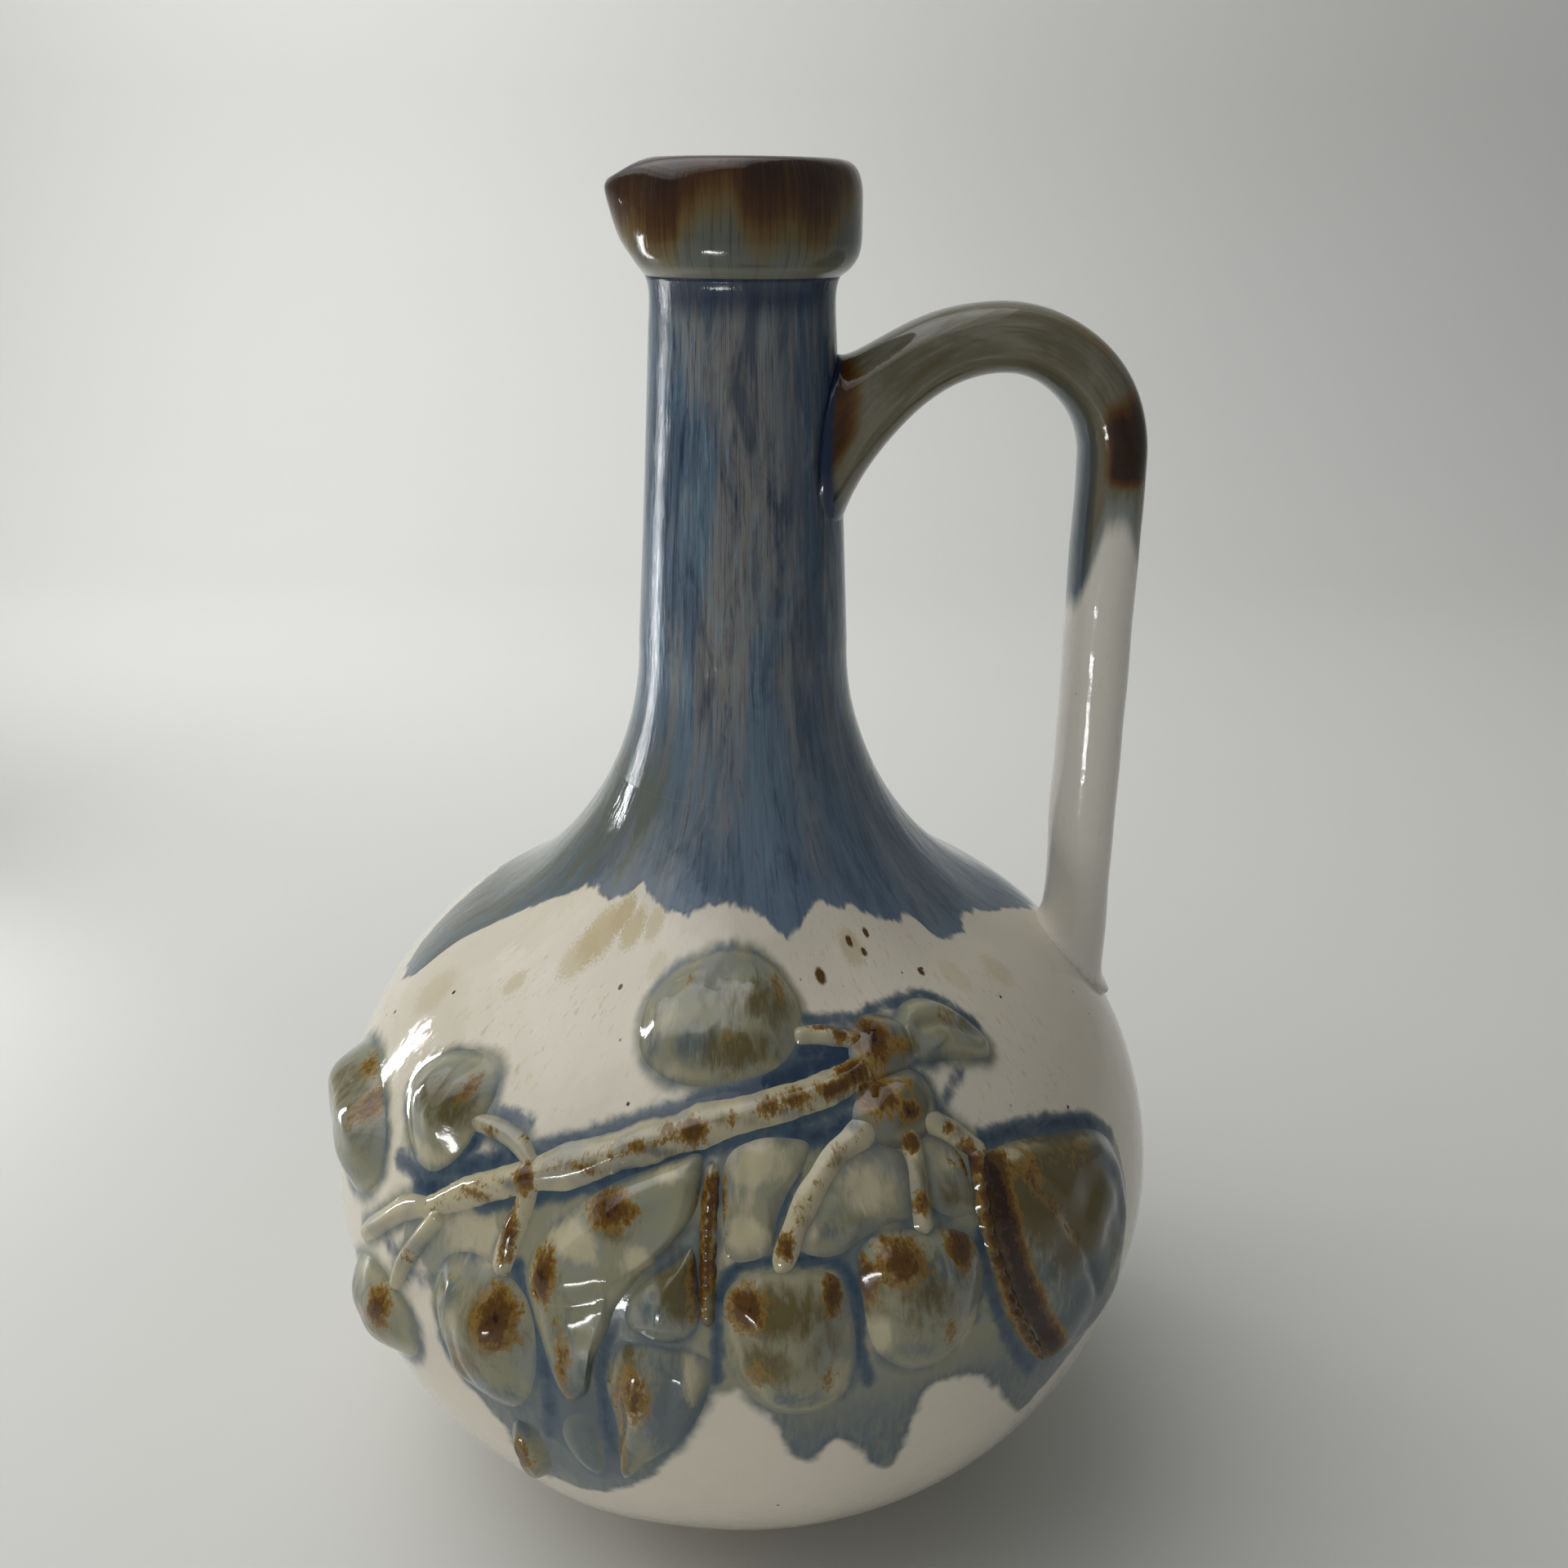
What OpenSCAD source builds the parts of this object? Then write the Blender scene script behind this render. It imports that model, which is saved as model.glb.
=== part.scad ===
// Earthenware carafe: a round belly, a long flared neck, a collar with a pouring beak, a looped
// handle, and a fruiting bough laid on the belly in separate sprigs of clay.
// The origin is on the table under the middle of the foot, with +Z up, the handle towards +X,
// the beak towards -X and the bough towards -Y. All sizes are in millimetres.

/* [Overall] */
// Height from the table to the rim
total_h = 260; // [245:1:290]

/* [Belly] */
// Diameter at the widest line
belly_d = 169; // [158:1:182]
// Radius of the wall's curve below the widest line
belly_low_round = 67; // [62:1:72]
// Radius of the wall's curve above the widest line
belly_top_round = 62; // [58:1:68]
// Thickness of the wall
belly_wall = 5; // [3.5:0.5:7]
// Diameter of the flat foot
foot_d = 84; // [76:1:96]
// Height of the foot's upright edge
foot_h = 4; // [3:0.5:8]
// Bevel where the foot meets the table
foot_bevel = 1; // [0.5:0.25:2]
// Height of the floor inside above the top of the foot
floor_rise = 4; // [3:0.5:8]
// Height of the belly's opening, where the neck is luted on
neck_joint_h = 150; // [140:1:165]

/* [Neck] */
// Diameter where the flare ends and the straight neck begins
neck_low_d = 40; // [37:0.5:44]
// Diameter under the collar
neck_top_d = 32.4; // [31:0.2:36]
// Radius of the flare between the shoulder and the neck
neck_flare = 62; // [56:1:70]
// Diameter of the throat
throat_d = 24; // [18:0.5:25]
// Height of the straight throat's lower end above the end of the flare
throat_rise = 5; // [0:0.5:10]
// Height of the spigot that seats in the collar
spigot_h = 5; // [3:0.5:8]
// Wall of the spigot
spigot_wall = 2.2; // [1.5:0.1:3]

/* [Collar] */
// Outer diameter of the collar
collar_d = 42; // [41:0.5:48]
// Height of the collar
collar_h = 19; // [16:0.5:24]
// Rounding of the collar's upper edge
collar_top_round = 4; // [2:0.5:5]
// Rounding of the collar's lower edge
collar_low_round = 4.4; // [3:0.2:4.6]
// Bevel inside the rim
lip_bevel = 2; // [1:0.25:3]
// How far the beak stands out beyond the collar
beak_reach = 3; // [2:0.5:5]
// Radius of the beak's bulge
beak_round = 9; // [7:0.5:11]
// Depth of the middle of the beak below the rim
beak_drop = 8; // [7:0.5:10]
// Fall of the rim towards the beak, in degrees
beak_fall = 14; // [8:1:20]
// Radius of the pouring channel
channel_round = 4.5; // [3:0.5:6]
// Depth of the pouring channel
channel_depth = 3; // [2:0.5:4]

/* [Handle] */
// Distance from the middle of the carafe to the outside of the handle
handle_reach = 74.5; // [70:0.5:78]
// Thickness of the handle, seen from the side
handle_t = 12.5; // [9:0.5:15]
// Width of the handle, seen end on
handle_w = 17; // [13:0.5:22]
// Depth of the top of the loop below the rim
handle_drop = 23; // [20:1:32]
// Bend of the loop, measured at the handle's middle
handle_bend = 21.5; // [18:0.5:24]
// How far the upper edge falls on its way to the neck
handle_top_fall = 11; // [6:0.5:15]
// How far the lower edge falls on its way to the neck
handle_under_fall = 25; // [18:0.5:29]

/* [Bough] */
// How far round the belly the bough reaches, in degrees
bough_turn = 139; // [120:1:150]
// Height of the fruits above the wall
fruit_t = 4.2; // [2:0.2:6]
// Height of the leaves above the wall
leaf_t = 2.4; // [1.2:0.2:4]
// Height of the twigs above the wall
twig_t = 2.8; // [1.6:0.2:4]
// Height of the knots above the wall
knot_t = 3.6; // [2:0.2:5]
// Height of the leaf ribs above the wall
rib_t = 2; // [1:0.2:3]
// Slip between the wall and what is luted to it
slip_t = 0.1; // [0.05:0.05:0.3]

/* [Hidden] */
$fn = 96;
arc_steps = 14;

cream = [0.86, 0.82, 0.74];
blue = [0.36, 0.42, 0.53];
red_brown = [0.36, 0.21, 0.11];
olive = [0.50, 0.49, 0.41];
grey_green = [0.55, 0.56, 0.50];
tan = [0.66, 0.55, 0.38];
rust = [0.45, 0.25, 0.08];

// The wall is three arcs: below the widest line, above it, and the flare, each meeting the next smoothly.
belly_r = belly_d / 2;
foot_r = foot_d / 2;
neck_low_r = neck_low_d / 2;
neck_top_r = neck_top_d / 2;
throat_r = throat_d / 2;
collar_r = collar_d / 2;
low_centre_r = belly_r - belly_low_round;
top_centre_r = belly_r - belly_top_round;
flare_centre_r = neck_low_r + neck_flare;
belly_z = foot_h + sqrt(pow(belly_low_round, 2) - pow(foot_r - low_centre_r, 2));
flare_z = belly_z + sqrt(pow(belly_top_round + neck_flare, 2) - pow(flare_centre_r - top_centre_r, 2));
shoulder_angle = asin((flare_z - belly_z) / (belly_top_round + neck_flare));
shoulder_rise = belly_top_round * shoulder_angle * PI / 180;
shoulder_r = top_centre_r + belly_top_round * cos(shoulder_angle);
foot_angle = -asin((belly_z - foot_h) / belly_low_round);
joint_angle = asin((flare_z - neck_joint_h) / neck_flare);

// The hollow follows the wall inside, and its flare runs smoothly into the straight throat.
throat_z = flare_z + throat_rise;
floor_z = foot_h + floor_rise;
inner_low_round = belly_low_round - belly_wall;
inner_top_round = belly_top_round - belly_wall;
throat_offset = throat_r - top_centre_r;
inner_flare = (pow(throat_offset, 2) + pow(throat_z - belly_z, 2) - pow(inner_top_round, 2))
    / (2 * (inner_top_round - throat_offset));
inner_centre_r = throat_r + inner_flare;
inner_angle = asin((throat_z - belly_z) / (inner_top_round + inner_flare));
floor_angle = -asin((belly_z - floor_z) / inner_low_round);
inner_joint_angle = asin((throat_z - neck_joint_h) / inner_flare);

neck_top_z = total_h - collar_h;
spigot_r = neck_top_r - spigot_wall;
spigot_top_z = neck_top_z + spigot_h;

handle_top_z = total_h - handle_drop;
handle_x = handle_reach - handle_t / 2;
bend_x = handle_x - handle_bend;
bend_z = handle_top_z - handle_t / 2 - handle_bend;
join_top_z = handle_top_z - handle_top_fall;
join_low_z = handle_top_z - handle_t - handle_under_fall;
join_z = (join_top_z + join_low_z) / 2;
join_x = neck_r(join_z);
// The handle widens a little towards the neck.
join_spread = 1.2;
handle_sides = 20;
cap_shares = [1 / 3, 2 / 3];

function neck_r(z) = neck_low_r + (neck_top_r - neck_low_r) * (z - flare_z) / (neck_top_z - flare_z);
function shoulder_z(r) =
    r > shoulder_r ?
    belly_z + sqrt(pow(belly_top_round + slip_t, 2) - pow(r - top_centre_r, 2)) :
    flare_z - sqrt(pow(neck_flare - slip_t, 2) - pow(flare_centre_r - r, 2));

// Points on an arc about [r, z], with angles from the horizontal.
function arc(r, z, round, from, to) = [
    for (i = [0 : arc_steps])
        let (angle = from + (to - from) * i / arc_steps)
        [r + round * cos(angle), z + round * sin(angle)]
];

// The bough is laid out in steps along and up the wall, and this many of them span it from side to side.
bough_steps = 205;
step = PI * belly_d * bough_turn / 360 / bough_steps;

// A place on the outside of the wall: along runs round the widest line, rise runs up the wall from it.
function wall_profile(rise, lift) =
    rise < 0 ? [
        low_centre_r + (belly_low_round + lift) * cos(rise / belly_low_round * 180 / PI),
        belly_z + (belly_low_round + lift) * sin(rise / belly_low_round * 180 / PI)
    ] :
    rise < shoulder_rise ? [
        top_centre_r + (belly_top_round + lift) * cos(rise / belly_top_round * 180 / PI),
        belly_z + (belly_top_round + lift) * sin(rise / belly_top_round * 180 / PI)
    ] :
    let (angle = shoulder_angle - (rise - shoulder_rise) / neck_flare * 180 / PI)
    [
        flare_centre_r - (neck_flare - lift) * cos(angle),
        flare_z - (neck_flare - lift) * sin(angle)
    ];
function wall_point(place, lift) =
    let (
        angle = place[0] * step / belly_r * 180 / PI,
        profile = wall_profile(place[1] * step, lift)
    )
    [profile[0] * sin(angle), -profile[0] * cos(angle), profile[1]];

// A closed skin over rings of points, from one end point to the other.
module skin(first, rings, last) {
    sides = len(rings[0]);
    tail = 1 + len(rings) * sides;
    points = concat([first], [for (ring = rings) each ring], [last]);
    function at(ring, side) = 1 + ring * sides + side % sides;
    faces = concat(
        [for (i = [0 : sides - 1]) [0, at(0, i), at(0, i + 1)]],
        [for (k = [0 : len(rings) - 2], i = [0 : sides - 1]) [at(k, i), at(k + 1, i), at(k, i + 1)]],
        [for (k = [0 : len(rings) - 2], i = [0 : sides - 1]) [at(k, i + 1), at(k + 1, i), at(k + 1, i + 1)]],
        [for (i = [0 : sides - 1]) [tail, at(len(rings) - 1, i + 1), at(len(rings) - 1, i)]]
    );
    polyhedron(points, faces);
}

// A pad of clay laid on the wall, with its place and size in steps. Its outline is an oval of the given
// length along its heading, in degrees clockwise from straight up, and of half widths left and right of it.
// A point of 1 leaves the ends round, and more draws them to tips. The crown rounds the top.
pad_sides = 20;
pad_floor_shares = [0.35, 0.7, 1];
pad_top_shares = [0.95, 0.8, 0.55, 0.28];
module pad(along, rise, heading, length, left, right, height, point, crown) {
    function place(share, side) =
        let (
            angle = -360 * side / pad_sides,
            ahead = share * length / 2 * cos(angle),
            across = share * (sin(angle) > 0 ? right : left) * sign(sin(angle)) * pow(abs(sin(angle)), point)
        )
        [
            along + ahead * sin(heading) + across * cos(heading),
            rise + ahead * cos(heading) - across * sin(heading)
        ];
    function ring(share, lift) = [for (i = [0 : pad_sides - 1]) wall_point(place(share, i), lift)];
    function dome(share) = slip_t + height * pow(1 - pow(share, crown), 1 / crown);
    skin(
        wall_point([along, rise], slip_t),
        concat(
            [for (share = pad_floor_shares) ring(share, slip_t)],
            [for (share = pad_top_shares) ring(share, dome(share))]
        ),
        wall_point([along, rise], slip_t + height)
    );
}

module fruit(along, rise, heading, length, left, right)
    pad(along, rise, heading, length, left, right, fruit_t, 1, 2);

module leaf(along, rise, heading, length, left, right)
    pad(along, rise, heading, length, left, right, leaf_t, 1.2, 3);

module knot(along, rise, length, half_width)
    pad(along, rise, 90, length, half_width, half_width, knot_t, 1, 2.4);

// A roll of clay laid on the wall along a smooth curve through the given places, with its width in steps.
roll_steps = 3;
roll_section = [
    [-1, 0], [-0.85, 0.55], [-0.4, 0.93], [0.4, 0.93],
    [0.85, 0.55], [1, 0], [0.35, 0], [-0.35, 0]
];
function between(path, k, t) =
    let (
        a = path[max(k - 1, 0)],
        b = path[k],
        c = path[k + 1],
        d = path[min(k + 2, len(path) - 1)]
    )
    (2 * b + (c - a) * t + (2 * a - 5 * b + 4 * c - d) * t * t + (3 * b - a - 3 * c + d) * t * t * t) / 2;
module roll(path, width, height) {
    spans = len(path) - 1;
    places = [
        for (k = [0 : spans - 1], i = [0 : roll_steps - 1]) between(path, k, i / roll_steps),
        path[spans]
    ];
    count = len(places);
    // The roll is rounded off at both ends.
    function fullness(i) = i == 0 || i == count - 1 ? 0.6 : 1;
    function ring(i) =
        let (
            way = places[min(i + 1, count - 1)] - places[max(i - 1, 0)],
            side = [way[1], -way[0]] / norm(way) * width / 2 * fullness(i)
        )
        [for (s = roll_section) wall_point(places[i] + side * s[0], slip_t + height * fullness(i) * s[1])];
    function tip(i, inner) =
        let (way = places[i] - places[inner])
        wall_point(places[i] + way / norm(way) * width / 4, slip_t + height / 4);
    skin(tip(0, 1), [for (i = [0 : count - 1]) ring(i)], tip(count - 1, count - 2));
}

// The hollow body: its flat foot, round wall and shoulder, up to the butt joint with the neck.
module belly() {
    color(cream)
    rotate_extrude()
    polygon(concat(
        [[0, 0], [foot_r - foot_bevel, 0], [foot_r, foot_bevel]],
        arc(low_centre_r, belly_z, belly_low_round, foot_angle, 0),
        arc(top_centre_r, belly_z, belly_top_round, 0, shoulder_angle),
        arc(flare_centre_r, flare_z, neck_flare, 180 + shoulder_angle, 180 + joint_angle),
        arc(inner_centre_r, throat_z, inner_flare, 180 + inner_joint_angle, 180 + inner_angle),
        arc(top_centre_r, belly_z, inner_top_round, inner_angle, 0),
        arc(low_centre_r, belly_z, inner_low_round, 0, floor_angle),
        [[0, floor_z]]
    ));
}

// The neck: a flared tube that stands on the belly's opening and ends in a spigot for the collar.
module neck() {
    color(blue)
    rotate_extrude()
    polygon(concat(
        arc(flare_centre_r, flare_z, neck_flare, 180 + joint_angle, 180),
        [
            [neck_top_r, neck_top_z],
            [spigot_r, neck_top_z],
            [spigot_r, spigot_top_z],
            [throat_r, spigot_top_z]
        ],
        arc(inner_centre_r, throat_z, inner_flare, 180, 180 + inner_joint_angle)
    ));
}

// The collar: a thick ring over the spigot, drawn out into a beak whose channel leads from the throat.
module collar() {
    far = collar_d;
    fall_x = -throat_r;
    color(red_brown)
    difference() {
        union() {
            rotate_extrude()
            polygon(concat(
                [[0, neck_top_z]],
                arc(collar_r - collar_low_round, neck_top_z + collar_low_round, collar_low_round, -90, 0),
                arc(collar_r - collar_top_round, total_h - collar_top_round, collar_top_round, 0, 90),
                [[0, total_h]]
            ));
            translate([beak_round - collar_r - beak_reach, 0, total_h - beak_drop])
            sphere(beak_round);
        }
        translate([0, 0, neck_top_z - far])
        cylinder(r = spigot_r, h = far + spigot_h);
        translate([0, 0, neck_top_z])
        cylinder(r = throat_r, h = far);
        translate([0, 0, total_h - lip_bevel])
        cylinder(r1 = throat_r, r2 = throat_r + 2 * lip_bevel, h = 2 * lip_bevel);
        translate([-far, -far, total_h])
        cube([2 * far, 2 * far, far]);
        translate([fall_x, 0, total_h])
        rotate([0, -beak_fall, 0])
        translate([-far, -far / 2, 0])
        cube([far, far, far]);
        translate([fall_x, 0, total_h + channel_round - channel_depth])
        rotate([0, -90 - beak_fall, 0])
        translate([0, 0, -throat_r / 2])
        cylinder(r = channel_round, h = far);
    }
}

// The handle: an oval strap luted to the neck, looped over and let down onto the shoulder.
module handle() {
    join_steps = 7;
    bend_steps = 8;
    shaft_steps = 4;
    shaft_low_z = shoulder_z(handle_x - handle_t / 2) + handle_t / 4;
    half_t = handle_t / 2;
    half_w = handle_w / 2;
    function section(half_up, half_side) = [
        for (i = [0 : handle_sides - 1])
            [half_up * cos(360 * i / handle_sides), -half_side * sin(360 * i / handle_sides)]
    ];
    function on_neck(share) = [
        for (s = section((join_top_z - join_low_z) / 2, half_w * join_spread))
            let (z = join_z + share * s[0], y = share * s[1])
            [sqrt(pow(neck_r(z) + slip_t, 2) - y * y), y, z]
    ];
    function to_neck(u) =
        let (
            top = handle_top_z - handle_top_fall * u * u,
            low = handle_top_z - handle_t - handle_under_fall * u * u
        )
        [
            for (s = section((top - low) / 2, half_w * (1 + (join_spread - 1) * u * u)))
                [bend_x - u * (bend_x - join_x), s[1], (top + low) / 2 + s[0]]
        ];
    function round_bend(angle) = [
        for (s = section(half_t, half_w))
            [bend_x + (handle_bend + s[0]) * cos(angle), s[1], bend_z + (handle_bend + s[0]) * sin(angle)]
    ];
    function down_shaft(z) = [for (s = section(half_t, half_w)) [handle_x + s[0], s[1], z]];
    function on_belly(share) = [
        for (s = section(half_t * share, half_w * share))
            [handle_x + s[0], s[1], shoulder_z(norm([handle_x + s[0], s[1]]))]
    ];
    color(olive)
    skin(
        [join_x + slip_t, 0, join_z],
        concat(
            [for (share = cap_shares) on_neck(share)],
            [on_neck(1)],
            [for (i = [1 : join_steps - 1]) to_neck(1 - i / join_steps)],
            [for (i = [0 : bend_steps]) round_bend(90 - 90 * i / bend_steps)],
            [for (i = [1 : shaft_steps]) down_shaft(bend_z + (shaft_low_z - bend_z) * i / shaft_steps)],
            [on_belly(1)],
            [for (i = [len(cap_shares) - 1 : -1 : 0]) on_belly(cap_shares[i])]
        ),
        [handle_x, 0, shoulder_z(handle_x)]
    );
}

// The bough, with places in steps to the right of the middle and up from the widest line.
module branch()
    color(tan)
    roll([[-62, 24], [-50, 31], [-41, 37.5], [-26, 43], [-10, 48], [0, 51], [16, 54], [24.5, 55.5]],
        4.8, twig_t);
module knot_upper()
    color(rust)
    knot(33.5, 60, 12, 5);
module knot_lower()
    color(tan)
    knot(33.5, 48.5, 12, 4);

module fruit_top()
    color(grey_green)
    fruit(-6, 68.5, 90, 43, 12.5, 12.5);
module fruit_upper_left()
    color(grey_green)
    fruit(-70.5, 39.2, 10, 21, 10, 10);
module fruit_far_left()
    color(grey_green)
    fruit(-100, 23, 100, 40, 12, 12);
module fruit_left_low()
    color(grey_green)
    fruit(-78, -6.5, 112, 27, 8.5, 8.5);
module fruit_lower_left()
    color(grey_green)
    fruit(-48.4, 3, 175, 26, 10.4, 11.5);
module fruit_lower_centre()
    color(grey_green)
    fruit(7.5, 12.5, 180, 27, 11, 11);
module fruit_lower_right()
    color(grey_green)
    fruit(31.2, 17, 180, 24, 11.3, 11.3);

module leaf_right()
    color(olive)
    leaf(55, 13.5, 162, 51, 30, 6);
module leaf_centre()
    color(olive)
    leaf(-19.5, 20, 207, 50, 1.5, 17);
module leaf_folded()
    color(olive)
    leaf(-10, 24, 190, 24, 3, 3.2);
module leaf_lower()
    color(olive)
    leaf(-16, -6, 199, 32, 6.5, 5);
module leaf_lower_left()
    color(olive)
    leaf(-26.5, -11, 183, 19, 3.2, 3.2);
module leaf_tip_left()
    color(olive)
    leaf(-41, -22, 185, 16, 3, 3);
module leaf_cream()
    color(cream)
    leaf(0.5, 34, 190, 20, 4.2, 3.4);
module leaf_under_fork()
    color(grey_green)
    leaf(21.5, 34.5, 226, 17, 4.5, 4.2);
module leaf_inner_right()
    color(grey_green)
    leaf(39.2, 34, 175, 12.5, 3, 3);
module leaf_at_knot()
    color(grey_green)
    leaf(52, 58.5, 103, 22, 7, 5);

module stem_top_fruit()
    color(tan)
    roll([[16.5, 64], [21, 64], [26, 62.5]], 2.4, twig_t);
module stem_centre_fruit()
    color(tan)
    roll([[25.5, 46.5], [19, 42.5], [13.5, 37.5], [8.5, 32], [7, 27.5]], 3.2, twig_t);
module stem_right_fruit()
    color(tan)
    roll([[34, 43], [33.2, 38], [33, 33.5], [33.8, 30]], 2.8, twig_t);
module stem_right_leaf()
    color(tan)
    roll([[39.6, 44.5], [43, 42], [46, 39.8]], 2.4, twig_t);
module stem_lower_left_fruit()
    color(rust)
    roll([[-42.4, 32.2], [-43, 28], [-44, 22.5], [-45.5, 17.8]], 2.8, twig_t);
module stem_left_fruit()
    color(tan)
    roll([[-61.5, 20.5], [-65, 16], [-68.5, 9.5], [-71, 1.5]], 2.2, twig_t);
module stem_upper_left_fruit()
    color(tan)
    roll([[-58.5, 38.5], [-52, 40.5], [-46, 40.8]], 2.4, twig_t);
module stem_far_left()
    color(blue)
    roll([[-66, 21.5], [-71, 18.5], [-77, 13], [-84, 6]], 3, twig_t);

module rib_right()
    color(rust)
    roll([[44.6, 36.8], [43.9, 29], [44.8, 19], [47.4, 10], [52.4, -1.5], [57.4, -9.5]], 2.2, rib_t);
module rib_centre()
    color(rust)
    roll([[-4.6, 40], [-4.9, 34], [-4.7, 27], [-4.6, 20.5]], 2, rib_t);

belly();
neck();
collar();
handle();
branch();
knot_upper();
knot_lower();
fruit_top();
fruit_upper_left();
fruit_far_left();
fruit_left_low();
fruit_lower_left();
fruit_lower_centre();
fruit_lower_right();
leaf_right();
leaf_centre();
leaf_folded();
leaf_lower();
leaf_lower_left();
leaf_tip_left();
leaf_cream();
leaf_under_fork();
leaf_inner_right();
leaf_at_knot();
stem_top_fruit();
stem_centre_fruit();
stem_right_fruit();
stem_right_leaf();
stem_lower_left_fruit();
stem_left_fruit();
stem_upper_left_fruit();
stem_far_left();
rib_right();
rib_centre();
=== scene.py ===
"""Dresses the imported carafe: its glazed belly, neck, collar and handle, and the bough of clay sprigs."""

import math

import bpy
import numpy as np
from mathutils import Matrix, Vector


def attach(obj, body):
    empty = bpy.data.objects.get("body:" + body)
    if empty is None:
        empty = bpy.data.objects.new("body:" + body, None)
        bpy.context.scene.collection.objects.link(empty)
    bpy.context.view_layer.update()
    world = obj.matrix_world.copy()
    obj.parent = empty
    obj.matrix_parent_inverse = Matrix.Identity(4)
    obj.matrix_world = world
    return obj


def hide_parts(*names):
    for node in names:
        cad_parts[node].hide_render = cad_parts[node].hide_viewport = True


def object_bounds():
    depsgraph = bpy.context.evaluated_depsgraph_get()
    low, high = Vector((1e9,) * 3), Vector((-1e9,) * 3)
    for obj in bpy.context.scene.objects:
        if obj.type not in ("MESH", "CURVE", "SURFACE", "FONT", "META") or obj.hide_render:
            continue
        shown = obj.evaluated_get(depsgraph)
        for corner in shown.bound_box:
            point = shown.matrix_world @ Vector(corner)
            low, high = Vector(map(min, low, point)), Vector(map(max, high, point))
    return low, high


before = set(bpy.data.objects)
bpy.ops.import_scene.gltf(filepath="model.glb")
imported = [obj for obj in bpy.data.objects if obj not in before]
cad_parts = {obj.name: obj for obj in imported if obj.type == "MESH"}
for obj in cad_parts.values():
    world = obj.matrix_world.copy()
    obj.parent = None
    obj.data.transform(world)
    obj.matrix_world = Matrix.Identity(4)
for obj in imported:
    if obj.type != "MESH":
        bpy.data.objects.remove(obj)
CAD_BOX = [list(map(float, corner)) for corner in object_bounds()]

bl_info = {
    "name": "Earthenware carafe",
    "version": (1, 0, 0),
    "blender": (4, 5, 0),
    "location": "View3D > Sidebar > Carafe",
    "description": "Builds a glazed earthenware carafe with a fruiting bough in relief",
    "category": "Add Mesh",
}

MM = 0.001
# Radii in millimetres at which the sheets of glaze are rolled up, so that they have no seam
FAN, COLLAR_SHEET, HANDLE_SHEET = 30.0, 24.0, 8.0
# Millimetres by which clay and the thin edge of its glaze lie under the wall's face
ROOT, TIP_ROOT, THIN_EDGE = 0.8, 0.4, 0.12
# Width in millimetres of the fillets of glaze round pads and along rolls
PAD_FILLET, ROLL_FILLET = 1.8, 1.2
# Most millimetres in from its edge over which a domed pad and a flat one go on rising
DOMED, FLAT = 30.0, 5.0
# How fast a blot or a stroke fades away from its middle, and glaze away from a sprig, in millimetres
BLOT_FADE, CREASE = 0.7, 1.9
# First seeds of the hand-made unevenness
FRUIT_SEED, LEAF_SEED, TWIG_SEED, KNOT_SEED, RIB_SEED = 20, 40, 60, 80, 90


# Sizes and colours

def length(name, default, description):
    return bpy.props.FloatProperty(
        name=name, description=description, default=default, unit="LENGTH", precision=4)


def colour(name, default, description):
    return bpy.props.FloatVectorProperty(
        name=name, description=description, default=default, subtype="COLOR", min=0.0, max=1.0)


class CarafeSizes(bpy.types.PropertyGroup):
    """Sizes of the pot and of the bough on it."""
    height: length("Height", CAD_BOX[1][2], "From the table to the rim")
    belly_radius: length("Belly radius", 0.0845, "At the widest line")
    low_round: length("Low round", 0.067, "Radius of the wall's curve below the widest line")
    top_round: length("Top round", 0.062, "Radius of the wall's curve above the widest line")
    wall: length("Wall", 0.005, "Thickness of the belly's wall")
    foot_radius: length("Foot radius", 0.042, "Radius of the flat foot")
    foot_height: length("Foot height", 0.004, "Height of the foot's upright edge")
    floor_height: length("Floor height", 0.008, "Height of the floor inside")
    neck_joint: length("Neck joint", 0.150, "Height of the joint between belly and neck")
    neck_low_radius: length("Neck low radius", 0.020, "Where the flare ends")
    neck_top_radius: length("Neck top radius", 0.0162, "Under the collar")
    neck_flare: length("Neck flare", 0.062, "Radius of the flare between shoulder and neck")
    throat_radius: length("Throat radius", 0.012, "Radius of the straight throat")
    throat_rise: length("Throat rise", 0.005, "Height of the throat's lower end above the flare")
    collar_height: length("Collar height", 0.019, "Height of the collar")
    spigot_height: length("Spigot height", 0.005, "Height of the neck's spigot in the collar")
    spigot_radius: length("Spigot radius", 0.014, "Radius of the neck's spigot")
    handle_reach: length("Handle reach", 0.0745, "From the middle of the carafe to the outside of the handle")
    handle_thickness: length("Handle thickness", 0.0125, "Seen from the side")
    handle_width: length("Handle width", 0.017, "Seen end on")
    handle_drop: length("Handle drop", 0.023, "From the rim down to the top of the loop")
    handle_bend: length("Handle bend", 0.0215, "Radius of the bend at the handle's middle")
    handle_top_fall: length("Handle top fall", 0.011, "How far the upper edge falls on its way to the neck")
    handle_under_fall: length(
        "Handle under fall", 0.025, "How far the lower edge falls on its way to the neck")
    fruit_height: length("Fruit height", 0.0042, "Height of the fruits above the wall")
    leaf_height: length("Leaf height", 0.0026, "Height of the leaves above the wall")
    twig_height: length("Twig height", 0.0024, "Height of branch and stems above the wall")
    knot_height: length("Knot height", 0.0030, "Height of the knots above the wall")
    rib_height: length("Rib height", 0.0017, "Height of the leaf ribs above the wall")


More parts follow.
